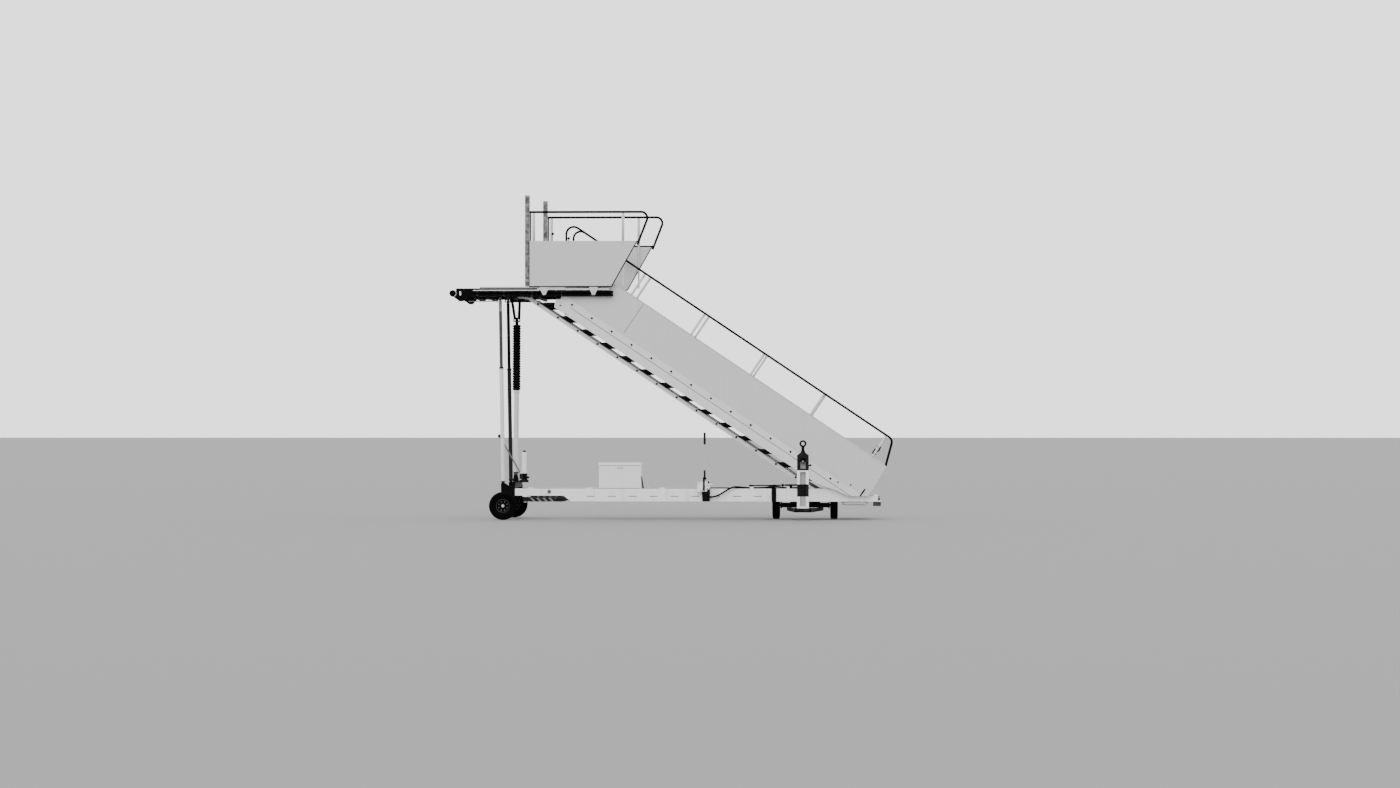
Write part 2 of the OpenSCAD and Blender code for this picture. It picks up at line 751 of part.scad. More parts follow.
// One moving step: two carriers with their pins, and the tread on top
module step(k) {
    r = rear_pin(k);
    f = front_pin(k);
    sheet = 4;
    head_t = 6;
    top = r[1] + 22;
    back_x = r[0] + 100;
    nose_x = back_x + tread_depth;
    half = cheek_in - gap;
    low = r[1] - 52;
    color(grey) {
        both_sides() {
            side_plate([
                [r[0] - 20, top - 2], [r[0] - 20, r[1] - 20], [r[0] + 40, low],
                [f[0] - 60, low], [f[0] + 20, f[1] - 18], [f[0] + 20, f[1] + 18], [nose_x, top - 2]
            ], -carrier_out, -carrier_in);
            block(r[0] + 44, f[0] - 64, -carrier_in - 1, -carrier_in + 14, low, low + sheet);
            pin_y(r, pin_r, -tie_out - 1, -carrier_out + 1);
            pin_y(r, pin_r + 5, -tie_out - head_t, -tie_out - seat);
            pin_y(f, pin_r, -cheek_out - 1, -carrier_out + 1);
            pin_y(f, pin_r + 5, -cheek_out - head_t, -cheek_out - seat);
            block(back_x, back_x + sheet, -half, -carrier_out + 1, top - 26, top - 1);
            block(back_x, nose_x, -half, -half + sheet, top - 30, top - 1);
        }
        block(r[0] + 30, back_x + 1, -carrier_in, carrier_in, top - sheet, top);
        block(back_x, nose_x, -half, half, top - sheet, top);
        block(nose_x - sheet, nose_x, -half, half, top - 42, top - 1);
        block(r[0] + 220, r[0] + 250, -carrier_in - 1, carrier_in + 1, top - 30, top - 1);
    }
}

module step_01() step(0);
module step_02() step(1);
module step_03() step(2);
module step_04() step(3);
module step_05() step(4);
module step_06() step(5);
module step_07() step(6);
module step_08() step(7);
module step_09() step(8);
module step_10() step(9);
module step_11() step(10);
module step_12() step(11);
module step_13() step(12);
module step_14() step(13);

// Platform

cross_t = 30;
cross_low = platform_bottom - cross_t;
eye_gap = 40;

// Outer rail: a channel open to the outside, with a slot for the guard's shoes
slot_low = platform_bottom + 28;
slot_high = slot_low + 30;

module platform_rail() {
    t = 5;
    long_bar([
        [-rail_out, platform_bottom], [-rail_in, platform_bottom], [-rail_in, platform_top],
        [-rail_out, platform_top], [-rail_out, slot_high], [-rail_out + t, slot_high],
        [-rail_out + t, platform_top - t], [-rail_in - t, platform_top - t],
        [-rail_in - t, platform_bottom + t], [-rail_out + t, platform_bottom + t],
        [-rail_out + t, slot_low], [-rail_out, slot_low]
    ], -470, platform_back);
}

// Plates with a long hole, in which the pin of a lift rod or strut can wander
module slotted_lug(p, wide, low, high, reach, y0, y1) {
    slot_r = pin_r + 6;
    difference() {
        side_plate([[p[0] - wide, low], [p[0] + wide, low], [p[0] + wide, high], [p[0] - wide, high]],
            y0, y1);
        for (x = [-reach, reach]) pin_y(p + [x, 0], slot_r, y0 - 1, y1 + 1);
        block(p[0] - reach, p[0] + reach, y0 - 1, y1 + 1, p[1] - slot_r, p[1] + slot_r);
    }
}

// Thin bar below the front of the platform, hung from the cross members
module pull_bar() {
    y = -480;
    low = 3255;
    bar([-552, low], [-145, low], 14, y);
    for (x = [-440, -250]) bar([x, low], [x, cross_low + 1], 12, y);
}

module platform_rails() {
    cap = 8;
    color(black) both_sides() {
        platform_rail();
        block(platform_back - cap, platform_back, -rail_out + 1, -rail_in - 1,
            platform_bottom + 1, platform_top - 1);
        pin_y([platform_back - 40, platform_bottom + 43], 14, -rail_out + 4, -rail_in - 4);
        side_plate([[top_pivot[0] - 40, platform_top - 20], [top_pivot[0] + 40, platform_top - 20],
            [top_pivot[0] + 32, top_pivot[1] - 28], [top_pivot[0] - 32, top_pivot[1] - 28]],
            -rail_in, -rail_in + 8);
        pin_y(top_pivot, pivot_r, -rail_in, -cheek_out + 14);
    }
}

module platform_frame() {
    low = barrel_head[1] + 40;
    plate_out = 44;
    plate_in = 34;
    color(black) {
        both_sides() {
            block(-470, deck_back, -beam_out, -beam_in, platform_bottom, platform_top);
            for (y = [-beam_out, -beam_in - 10])
                slotted_lug(strut_head, 46, strut_head[1] - 26, platform_bottom, 18, y, y + 10);
            pin_y(top_tie_pivot, pivot_r, -beam_in - 1, -tie_in + 5);
            slotted_lug(barrel_head, 50, barrel_head[1] - 28, low, 23, -plate_out, -plate_in);
            side_plate([[74, low], [108, low], [66, cross_low], [32, cross_low]], -plate_out, -plate_in);
            side_plate([[140, low], [174, low], [184, cross_low], [150, cross_low]], -plate_out, -plate_in);
            block(20, 400, -70, -plate_in, cross_low - 32, cross_low);
        }
        for (x = [-440, -250, 50, 165, 500])
            block(x - 20, x + 20, -rail_out, rail_out, cross_low, platform_bottom - seat);
        for (x = [-440, -250, 50, 165, 500])
            block(x - 20, x + 20, -beam_out, beam_out, cross_low, platform_bottom + 1);
        block(365, 400, -plate_in - 1, plate_in + 1, cross_low - 32, cross_low);
        pull_bar();
    }
}

module platform_deck() {
    skin = 10;
    strip_low = platform_top + 10;
    strip_high = strip_low + 25;
    color(white) {
        block(deck_front, deck_back, -rail_out, rail_out, deck_z - skin, deck_z);
        both_sides() {
            block(deck_front, deck_back, -rail_out, -rail_in, platform_top, deck_z - skin + 1);
            block(deck_back - 1, platform_back - 60, -rail_out, -rail_out + 12, strip_low, strip_high);
            for (x = [760, 1190, platform_back - 80])
                block(x, x + 30, -rail_out, -rail_out + 12, platform_top, strip_low + 1);
        }
        for (x = [40, 280, deck_back - 20])
            block(x, x + 20, -rail_in - 1, rail_in + 1, platform_top, deck_z - skin + 1);
    }
}

// Front extension: a tread on two slides that run between the rails
nose_x = -720;
slide_out = rail_in - gap;
slide_in = beam_out + gap;

module platform_extension() {
    tread_low = platform_top + 10;
    tread_t = 28;
    slide_low = platform_bottom + seat;
    slide_high = platform_top - 4;
    wall = 6;
    color(black) {
        block(nose_x, deck_front + 200, -slide_out, slide_out, tread_low, tread_low + tread_t);
        both_sides() {
            long_bar([
                [-slide_out, slide_low], [-slide_in, slide_low], [-slide_in, slide_low + wall],
                [-slide_out + wall, slide_low + wall], [-slide_out + wall, slide_high - wall],
                [-slide_in, slide_high - wall], [-slide_in, slide_high], [-slide_out, slide_high]
            ], nose_x + 10, 60);
            block(nose_x + 10, nose_x + 230, -slide_out, -slide_in, slide_high - 1, tread_low + 1);
            side_plate([[nose_x - 60, 3402], [nose_x - 66, 3335], [-668, 3247], [-612, 3247],
                [-556, slide_low], [-556, 3402]], -slide_out, -slide_out + 8);
            side_plate([[nose_x + 1, tread_low + 1], [nose_x + 1, 3290], [nose_x + 60, 3290],
                [nose_x + 110, tread_low + 1]], -slide_in + 60, -slide_in + 68);
        }
        block(nose_x, nose_x + 12, -slide_out + 8, slide_out - 8, 3290, tread_low + 1);
        block(nose_x + 40, nose_x + 52, -slide_in - 1, slide_in + 1, slide_low + 8, slide_high - 8);
    }
}

// Round bumper on its shaft between the two brackets
module bumper() {
    bumper_r = 50;
    end = slide_out - 8 - seat;
    color(rubber) translate([nose_x - bumper_r - seat, end, platform_bottom + 49]) rotate([90, 0, 0])
        rotate_extrude() polygon([
            [0, 0], [bumper_r - 12, 0], [bumper_r, 12], [bumper_r, 2 * end - 12],
            [bumper_r - 12, 2 * end], [0, 2 * end]
        ]);
}

// Sliding guards

guard_y = -rail_out - slide_gap;
tab_places = [601, 1335];
guard_posts = [445, 1773];
guard_d = 34;
tall_post_x = 350;
tall_post_w = 70;
guard_post_top = 4819;

module guard_panel() {
    panel_low = deck_z - 5;
    panel_high = guard_z - 430;
    tab = 65;
    sheet = 3;
    tab_low = slot_low - 10;
    outline = concat(
        [[375, panel_low]],
        [for (x = tab_places) each [
            [x - tab, panel_low], [x - tab + 8, panel_low - 40], [x - 15, tab_low], [x - 6, tab_low],
            [x, tab_low + 18], [x + 6, tab_low], [x + 15, tab_low], [x + tab - 8, panel_low - 40],
            [x + tab, panel_low]
        ]],
        [[1603, panel_low], [1990, panel_high], [375, panel_high]]
    );
    side_plate(outline, guard_y - sheet, guard_y);
    for (x = tab_places) {
        block(x - 25, x + 25, guard_y - 1, -rail_out + 8, slot_low + seat, slot_high - seat);
        block(x - 30, x + 30, -rail_out + 7, -rail_out + 26, slot_low - 12, slot_high + 12);
        pin_y([x, 3390], 9, guard_y - sheet - 5, guard_y);
    }
    for (x = guard_posts)
        bar([x, panel_low + 30], [x, guard_z - guard_d / 2 - seat], guard_d - 6,
            guard_y + seat + guard_d / 2 - 3);
}

module guard_rail() {
    y = guard_y + seat + guard_d / 2;
    bent_bar([[tall_post_x + tall_post_w / 2 + seat, guard_z], [2175, guard_z], [1985, guard_z - 490]],
        90, guard_d, y);
}

// Tall square post at the front of a guard
module tall_post() {
    half = tall_post_w / 2;
    block(tall_post_x - half, tall_post_x + half, guard_y + seat, guard_y + seat + 38,
        deck_z + slide_gap, guard_post_top);
}

module guard_panel_near() color(white) guard_panel();
module guard_rail_near() color(black) guard_rail();
module guard_panel_far() color(white) translate([far_shift, 0, 0]) far_side() guard_panel();
module guard_rail_far() color(black) translate([far_shift, 0, 0]) far_side() guard_rail();
module guard_post_near() color(grey) tall_post();
module guard_post_far() color(grey) translate([far_shift, 0, 0]) far_side() tall_post();

// Lift and guide struts

lift_dir = unit(barrel_head - barrel_foot);
strut_dir = unit(strut_head - strut_foot);
barrel_top = 1291;
bellows_top = 2275;
strut_top = 1755;

// A flat eye at the end p of a rod, bored for its pin where hole_r isn't 0
module flat_eye(p, dir, r, half, hole_r, reach) {
    difference() {
        union() {
            pin_y(p, r, -half, half);
            translate([p[0], 0, p[1]]) rotate([0, 90 - atan2(dir[1], dir[0]), 0])
                translate([-r + 2, -half + 2, 0]) cube([2 * r - 4, 2 * half - 4, reach]);
        }
        if (hole_r > 0) pin_y(p, hole_r, -half - 1, half + 1);
    }
}

module lift_barrel() {
    gland = 44;
    color(white) {
        bar(barrel_foot + lift_dir * 45, barrel_foot + lift_dir * barrel_top, barrel_d, 0,
            lift_rod_d + 2 * run_fit);
        bar(barrel_foot + lift_dir * (barrel_top - gland), barrel_foot + lift_dir * (barrel_top - 4),
            barrel_d + 18, 0, lift_rod_d + 10);
        bar(barrel_foot + lift_dir * 60, barrel_foot + lift_dir * 92, barrel_d + 12, 0, lift_rod_d + 10);
        flat_eye(barrel_foot, lift_dir, 30, 36, pivot_r + run_fit, 50);
    }
}

module lift_rod() {
    color(steel) {
        bar(barrel_foot + lift_dir * 700, barrel_head - lift_dir * 60, lift_rod_d, 0);
        flat_eye(barrel_head, -lift_dir, 24, 30, 0, 66);
        pin_y(barrel_head, pin_r, -48, 48);
    }
}

module lift_bellows() {
    folds = 26;
    fold_depth = 15;
    bottom = barrel_top + 1;
    pitch = (bellows_top - bottom) / folds;
    ridge = bellows_d / 2;
    root = ridge - fold_depth;
    bore_r = lift_rod_d / 2 + 2;
    start = barrel_foot + lift_dir * bottom;
    color(rubber) translate([start[0], 0, start[1]]) rotate([0, 90 - atan2(lift_dir[1], lift_dir[0]), 0])
        rotate_extrude() polygon(concat(
            [[bore_r, 0]],
            [for (i = [0 : folds - 1]) each [[root, i * pitch], [ridge, (i + 0.5) * pitch]]],
            [[root, folds * pitch], [bore_r, folds * pitch]]
        ));
}

module strut_tubes() {
    color(white) both_sides() {
        difference() {
            union() {
                bar(strut_foot + strut_dir * 42, strut_foot + strut_dir * strut_top, strut_d, -strut_y);
                for (h = [48, strut_top - 36])
                    bar(strut_foot + strut_dir * h, strut_foot + strut_dir * (h + 30), strut_d + 10,
                        -strut_y);
            }
            bar(strut_foot + strut_dir * 62, strut_foot + strut_dir * (strut_top + 5),
                strut_rod_d + 2 * run_fit, -strut_y);
        }
        translate([0, -strut_y, 0]) flat_eye(strut_foot, strut_dir, 24, 13, pin_r + run_fit, 50);
    }
}

module strut_rods() {
    color(steel) both_sides() {
        bar(strut_foot + strut_dir * 700, strut_head - strut_dir * 44, strut_rod_d, -strut_y);
        translate([0, -strut_y, 0]) flat_eye(strut_head, -strut_dir, 20, 17, 0, 50);
        pin_y(strut_head, pin_r, -beam_out, -beam_in);
    }
}

module stabiliser_near() {
    tip = [[860, arm_low], [900, arm_low + 6], [940, arm_low + 22], [860, arm_high]];
    color(white) difference() {
        union() {
            side_plate(concat([[swing_x, arm_low]], tip, [[swing_x, arm_high]]),
                -strut_y - 30, -strut_y + 30);
            translate([swing_x, -strut_y, arm_low]) cylinder(r = 30, h = arm_high - arm_low);
            translate([swing_x, -strut_y, arm_low]) cylinder(r = 37, h = 12);
        }
        translate([swing_x, -strut_y, arm_low - 1]) cylinder(r = pin_r + 1 + run_fit, h = 80);
    }
}

module stabiliser_far() far_side() stabiliser_near();

chassis_frame();
fixed_steps();
rear_axle();
tool_box();
box_lid();
lever_pedestal();
hand_pump();
hydraulic_hose();
end_lamps();
rear_tyre_near();
rear_rim_near();
rear_tyre_far();
rear_rim_far();
front_tyre_rear();
front_rim_rear();
front_tyre_fore();
front_rim_fore();
steer_axle();
tow_bar();
tow_eye();
stair_stringers();
stair_cheeks();
stair_handrails();
rail_stanchions();
tie_bars();
step_01();
step_02();
step_03();
step_04();
step_05();
step_06();
step_07();
step_08();
step_09();
step_10();
step_11();
step_12();
step_13();
step_14();
platform_frame();
platform_rails();
platform_deck();
platform_extension();
bumper();
guard_panel_near();
guard_rail_near();
guard_post_near();
guard_panel_far();
guard_rail_far();
guard_post_far();
brake_lever();
lift_barrel();
lift_rod();
lift_bellows();
strut_tubes();
strut_rods();
stabiliser_near();
stabiliser_far();
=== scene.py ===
# %% [markdown]
# ## Mobile aircraft stairs, dressed in Blender
# The CAD model is a fixed frame in metres: +X runs to the foot of the stairs, -Y is the near side and +Z is up.
# This lesson starts from that frame and adds what the workshop adds to bare metal: paint, rubber, treads,
# rivets, clips and a hose. Nothing of the frame is moved, so every place below is a real place on the machine.

# %% Load the frame
import bpy
import bmesh
import math
from mathutils import Matrix, Vector


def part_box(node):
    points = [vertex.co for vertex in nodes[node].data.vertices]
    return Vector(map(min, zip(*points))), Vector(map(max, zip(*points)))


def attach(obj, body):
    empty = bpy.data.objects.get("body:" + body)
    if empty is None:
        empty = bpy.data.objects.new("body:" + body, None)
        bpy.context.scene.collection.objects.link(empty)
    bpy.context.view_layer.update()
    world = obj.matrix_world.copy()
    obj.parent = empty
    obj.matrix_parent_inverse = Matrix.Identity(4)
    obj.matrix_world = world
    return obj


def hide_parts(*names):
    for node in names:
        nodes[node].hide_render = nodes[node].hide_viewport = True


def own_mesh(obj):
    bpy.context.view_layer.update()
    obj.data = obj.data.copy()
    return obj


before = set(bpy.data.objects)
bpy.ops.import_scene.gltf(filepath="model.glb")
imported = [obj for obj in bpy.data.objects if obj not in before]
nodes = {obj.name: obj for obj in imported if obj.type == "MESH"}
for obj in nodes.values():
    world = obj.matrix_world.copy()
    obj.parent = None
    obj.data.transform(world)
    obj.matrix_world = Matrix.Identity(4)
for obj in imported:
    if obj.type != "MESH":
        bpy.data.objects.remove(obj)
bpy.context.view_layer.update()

# %% [markdown]
# ## The camera
# The photograph was taken from far away with a long lens, at about chest height, so the two sides of the
# machine almost cover each other. A 104 mm lens at 60 m gives the same flat view.

# %% Camera
camera_data = bpy.data.cameras.new("camera")
camera_data.lens = 104.2
camera_data.sensor_width = 36
camera_data.clip_end = 2000
camera = bpy.data.objects.new("camera", camera_data)
camera.location = (5.642, -60.78, 1.30)
camera.rotation_euler = (math.radians(90.54), 0, math.radians(2.6))
bpy.context.scene.collection.objects.link(camera)
bpy.context.scene.camera = camera
print("camera at", tuple(round(c, 2) for c in camera.location))

# %% [markdown]
# ## Small makers
# Every piece below ends as one mesh whose object sits at the origin and rides on a body of the frame.
# These helpers keep the cells short: three of them turn forms into such a piece, and the others add
# bevelled blocks, turned profiles, rings and tubes to a bmesh.

# %% Helper: a finished piece
SIDES = (-1, 1)


def finish_piece(name, mesh, finish, body, stands_for=()):
    mesh.materials.clear()
    mesh.materials.append(finish)
    piece = bpy.data.objects.new(name, mesh)
    bpy.context.scene.collection.objects.link(piece)
    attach(piece, body)
    if stands_for:
        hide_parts(*stands_for)
    print(name, len(mesh.polygons), "faces on", body)
    return piece


def piece_from(bm, name, finish, body, smooth=False, stands_for=()):
    bmesh.ops.remove_doubles(bm, verts=bm.verts, dist=1e-6)
    bmesh.ops.recalc_face_normals(bm, faces=bm.faces)
    for face in bm.faces:
        face.smooth = smooth
    mesh = bpy.data.meshes.new(name)
    bm.to_mesh(mesh)
    bm.free()
    return finish_piece(name, mesh, finish, body, stands_for)


def make_piece(name, finish, body, add, forms, smooth=False, stands_for=(), **more):
    """A piece of like forms: add makes each of them, and forms lists the values that each one takes"""
    bm = bmesh.new()
    for values in forms:
        add(bm, *values, **more)
    piece_from(bm, name, finish, body, smooth, stands_for)


# %% Helper: blocks and flat bars
def add_block(bm, low, high, bevel=0.002, turn=None):
    """A block with rounded edges between two corners, turned about its middle"""
    size = Vector(high) - Vector(low)
    middle = (Vector(high) + Vector(low)) / 2
    made = bmesh.ops.create_cube(bm, size=1, matrix=Matrix.Diagonal((*size, 1)))["verts"]
    edges = list(dict.fromkeys(e for v in made for e in v.link_edges))
    wide = min(bevel, min(size) * 0.4)
    made = bmesh.ops.bevel(bm, geom=edges, offset=wide, segments=2, affect="EDGES", profile=0.5)["verts"] or made
    group = set(made)
    grow = list(made)
    while grow:
        v = grow.pop()
        linked = {e.other_vert(v) for e in v.link_edges} - group
        group |= linked
        grow += linked
    matrix = Matrix.Translation(middle) @ (turn or Matrix.Identity(4))
    bmesh.ops.transform(bm, matrix=matrix, verts=list(group))


def add_flat_bar(bm, start, end, thick, y0, y1, bevel=0.0008):
    """A flat bar between two (x, z) points in a vertical plane"""
    way = Vector((end[0] - start[0], 0, end[1] - start[1]))
    middle = Vector(((start[0] + end[0]) / 2, (y0 + y1) / 2, (start[1] + end[1]) / 2))
    half = Vector((way.length / 2, abs(y1 - y0) / 2, thick / 2))
    add_block(bm, middle - half, middle + half, bevel, Matrix.Rotation(math.atan2(-way.z, way.x), 4, "Y"))


# %% Helper: turned forms, rings and tubes
def to_axis(start, direction):
    """A matrix that puts local Z along a direction and the origin at a point"""
    return Matrix.Translation(start) @ Vector(direction).to_track_quat("Z", "Y").to_matrix().to_4x4()


def turns(sides):
    return (2 * math.pi * i / sides for i in range(sides))


def add_skin(bm, rings, closed=False):
    """Faces from ring to ring, with a flat cap at each end unless the rings close into a loop"""
    for lower, upper in zip(rings, rings[1:] + (rings[:1] if closed else [])):
        sides = max(len(lower), len(upper))
        for i in range(sides):
            j = (i + 1) % sides
            corners = [lower[i % len(lower)], lower[j % len(lower)], upper[j % len(upper)], upper[i % len(upper)]]
            corners = list(dict.fromkeys(corners))
            if len(corners) > 2:
                bm.faces.new(corners)
    for ring in () if closed else (rings[0], rings[-1]):
        if len(ring) > 2:
            bm.faces.new(ring)


def add_turned(bm, profile, start, direction, sides=32, closed=False):
    """A turned form, or a ring where closed; profile holds (radius, height) pairs along the axis"""
    place = to_axis(start, direction)
    add_skin(bm, [[bm.verts.new(place @ Vector((radius * math.cos(t), radius * math.sin(t), height)))
                   for t in (turns(sides) if radius > 1e-6 else (0,))] for radius, height in profile], closed)


def add_tube(bm, points, radius, sides=16):
    """A round tube whose rings follow one frame, so that it does not twist"""
    points = [Vector(p) for p in points]
    up = Vector((0, 0, 1))
    rings = []
    for i, p in enumerate(points):
        way = (points[min(i + 1, len(points) - 1)] - points[max(i - 1, 0)]).normalized()
        side = way.cross(up)
        if side.length < 1e-3:
            side = way.cross(Vector((0, 1, 0)))
        side.normalize()
        up = side.cross(way).normalized()
        rings.append([bm.verts.new(p + radius * (math.cos(t) * side + math.sin(t) * up)) for t in turns(sides)])
    add_skin(bm, rings)


def smooth_way(points, steps=4):
    """Extra points between the given ones, on a Catmull-Rom curve"""
    points = [Vector(p) for p in points]
    out = []
    for i in range(len(points) - 1):
        p0, p1, p2, p3 = points[max(i - 1, 0)], points[i], points[i + 1], points[min(i + 2, len(points) - 1)]
        for t in (s / steps for s in range(steps)):
            out.append(0.5 * (2 * p1 + (p2 - p0) * t + (2 * p0 - 5 * p1 + 4 * p2 - p3) * t * t
                              + (3 * p1 - p0 - 3 * p2 + p3) * t ** 3))
    return out + [points[-1]]


# %% [markdown]
# ## The flight's own axes
# Most trim on the stairs lies along the slope. Two numbers place it: a, down the slope from the first bolt
# of the tie bar, and n, across the slope. The same lines run through the CAD model, so trim lands on them.

# %% Helper: the flight's axes
SLOPE = math.radians(33.9)
FIRST_BOLT = (0.789, 3.010)
STEP_PITCH = 0.3557
STEP_COUNT = 14
CHEEK_FACE = 0.720
across_slope = (math.sin(SLOPE), 0, math.cos(SLOPE))
lean = Matrix.Rotation(SLOPE, 4, "Y")


def on_flight(a, n):
    x = FIRST_BOLT[0] + a * math.cos(SLOPE) + n * math.sin(SLOPE)
    z = FIRST_BOLT[1] - a * math.sin(SLOPE) + n * math.cos(SLOPE)
    return x, z


def flight_point(a, n, y):
    x, z = on_flight(a, n)
    return Vector((x, y, z))


def add_flight_block(bm, a0, a1, n0, n1, y0, y1, bevel=0.001):
    middle = flight_point((a0 + a1) / 2, (n0 + n1) / 2, (y0 + y1) / 2)
    half = Vector(((a1 - a0) / 2, abs(y1 - y0) / 2, (n1 - n0) / 2))
    add_block(bm, middle - half, middle + half, bevel, lean)


print("foot of the cheek at", [round(c, 3) for c in on_flight(5.296, 0.886)])

# %% [markdown]
# ## Shared effects as node groups
# Paint on a machine that stands outdoors is never one flat value. Rain washes dust down into streaks, dust
# settles on what faces up and lies low, and edges lose their paint. Each effect is a node group with its
# sizes as inputs, built once here and placed in every finish with its own values.

# %% Helper: adding nodes
FLOAT, INT, VECTOR, COLOR = "NodeSocketFloat", "NodeSocketInt", "NodeSocketVector", "NodeSocketColor"


def add_node(tree, kind, inputs=(), **settings):
    """A node with its settings made first and then its inputs, each a socket to link or a value"""
    made = tree.nodes.new(kind)
    for key, value in settings.items():
        setattr(made, key, value)
    for key, value in dict(inputs).items():
        if isinstance(value, bpy.types.NodeSocket):
            tree.links.new(value, made.inputs[key])
        else:
            made.inputs[key].default_value = value
    return made


def calc(tree, operation, *values, clamp=False):
    inputs = dict(enumerate(values))
    return add_node(tree, "ShaderNodeMath", inputs, operation=operation, use_clamp=clamp).outputs[0]


def ramp(tree, value, from_low, from_high, to_low=0.0, to_high=1.0):
    inputs = dict(enumerate((value, from_low, from_high, to_low, to_high)))
    return add_node(tree, "ShaderNodeMapRange", inputs).outputs[0]


def noise(tree, place, scale, detail, **more):
    inputs = {"Vector": place, "Scale": scale, "Detail": detail, **more}
    return add_node(tree, "ShaderNodeTexNoise", inputs).outputs[0]


def mapped(tree, place, **inputs):
    return add_node(tree, "ShaderNodeMapping", {"Vector": place, **inputs}).outputs[0]


def add_bump(tree, height, strength, distance=0.001, **more):
    inputs = {"Height": height, "Strength": strength, "Distance": distance, **more}
    return add_node(tree, "ShaderNodeBump", inputs).outputs[0]


def object_place(tree):
    return add_node(tree, "ShaderNodeTexCoord").outputs["Object"]


def split_axes(tree, vector):
    return add_node(tree, "ShaderNodeSeparateXYZ", {0: vector}).outputs


def grey(value, warmth=0.0):
    return (value * (1 + warmth), value, value * (1 - warmth), 1)


def as_color(value):
    """A plain number stands for a grey"""
    return grey(value) if isinstance(value, float) else value


def mix_colors(tree, mask, first, second):
    inputs = {0: mask, 6: as_color(first), 7: as_color(second)}
    return add_node(tree, "ShaderNodeMix", inputs, data_type="RGBA").outputs[2]


def new_group(name, inputs, outputs):
    group = bpy.data.node_groups.new(name, "ShaderNodeTree")
    for label, kind, value in inputs:
        group.interface.new_socket(label, in_out="INPUT", socket_type=kind).default_value = value
    for label, kind in outputs:
        group.interface.new_socket(label, in_out="OUTPUT", socket_type=kind)
    return group, group.nodes.new("NodeGroupInput").outputs


# %% Group: weathering
def make_weathering():
    """Streaks that rain draws down, dust on what faces up or lies low, and a fine mottle"""
    group, given = new_group(
        "weathering",
        [("Color", COLOR, grey(0.5)), ("Dust Color", COLOR, grey(0.25, 0.04)), ("Streaks", FLOAT, 0.3),
         ("Dust", FLOAT, 0.3), ("Mottle", FLOAT, 0.1)],
        [("Color", COLOR), ("Dirt", FLOAT)])
    place = object_place(group)
    streak = noise(group, mapped(group, place, Scale=(9, 9, 0.7)), 1.6, 6)
    streak = calc(group, "MULTIPLY", ramp(group, streak, 0.52, 0.78), given["Streaks"])
    normal = add_node(group, "ShaderNodeNewGeometry").outputs["Normal"]
    up = ramp(group, split_axes(group, normal)[2], 0.3, 1.0, 0.25, 1.0)
    low = ramp(group, split_axes(group, place)[2], 0.1, 0.7, 1.0, 0.35)
    settled = calc(group, "MULTIPLY", noise(group, place, 3.5, 8, Roughness=0.65), up)
    settled = calc(group, "MULTIPLY", calc(group, "MULTIPLY", settled, low), given["Dust"])
    dirt = calc(group, "ADD", streak, settled, clamp=True)
    fine = ramp(group, noise(group, place, 40, 4), 0.3, 0.7, 1.0, 0.0)
    fine = calc(group, "MULTIPLY", fine, given["Mottle"])
    color = mix_colors(group, dirt, given["Color"], given["Dust Color"])
    color = mix_colors(group, fine, color, given["Dust Color"])
    add_node(group, "NodeGroupOutput", {"Color": color, "Dirt": dirt})
    return group


weathering = make_weathering()


# %% Group: worn edges
def make_edge_wear():
    """Chips of bare colour where the surface turns sharply"""
    group, given = new_group(
        "edge_wear",
        [("Color", COLOR, grey(0.5)), ("Bare Color", COLOR, grey(0.3)), ("Amount", FLOAT, 0.5),
         ("Scale", FLOAT, 30.0)],
        [("Color", COLOR), ("Wear", FLOAT)])
    plain = add_node(group, "ShaderNodeNewGeometry").outputs["Normal"]
    rounded = add_node(group, "ShaderNodeBevel", {"Radius": 0.004}, samples=4).outputs[0]
    same = add_node(group, "ShaderNodeVectorMath", {0: plain, 1: rounded}, operation="DOT_PRODUCT").outputs["Value"]
    chips = ramp(group, noise(group, object_place(group), given["Scale"], 8), 0.50, 0.58)
    worn = calc(group, "MULTIPLY", ramp(group, same, 0.99, 0.88), chips)
    worn = calc(group, "MULTIPLY", worn, given["Amount"])
    color = mix_colors(group, worn, given["Color"], given["Bare Color"])
    add_node(group, "NodeGroupOutput", {"Color": color, "Wear": worn})
    return group


edge_wear = make_edge_wear()


# %% Group: fine surface relief
def make_relief():
    group, given = new_group(
        "relief",
        [("Scale", FLOAT, 60.0), ("Strength", FLOAT, 0.1), ("Depth", FLOAT, 0.001)],
        [("Normal", VECTOR), ("Height", FLOAT)])
    height = noise(group, object_place(group), given["Scale"], 5)
    normal = add_bump(group, height, given["Strength"], given["Depth"])
    add_node(group, "NodeGroupOutput", {"Normal": normal, "Height": height})
    return group


relief = make_relief()


# %% Group: one band along an axis
def make_band():
    group, given = new_group(
        "band", [("Value", FLOAT, 0.0), ("Low", FLOAT, 0.0), ("High", FLOAT, 1.0)], [("Mask", FLOAT)])
    over = calc(group, "GREATER_THAN", given["Value"], given["Low"])
    under = calc(group, "LESS_THAN", given["Value"], given["High"])
    add_node(group, "NodeGroupOutput", {"Mask": calc(group, "MULTIPLY", over, under)})
    return group


band = make_band()
print("node groups:", [g.name for g in bpy.data.node_groups])
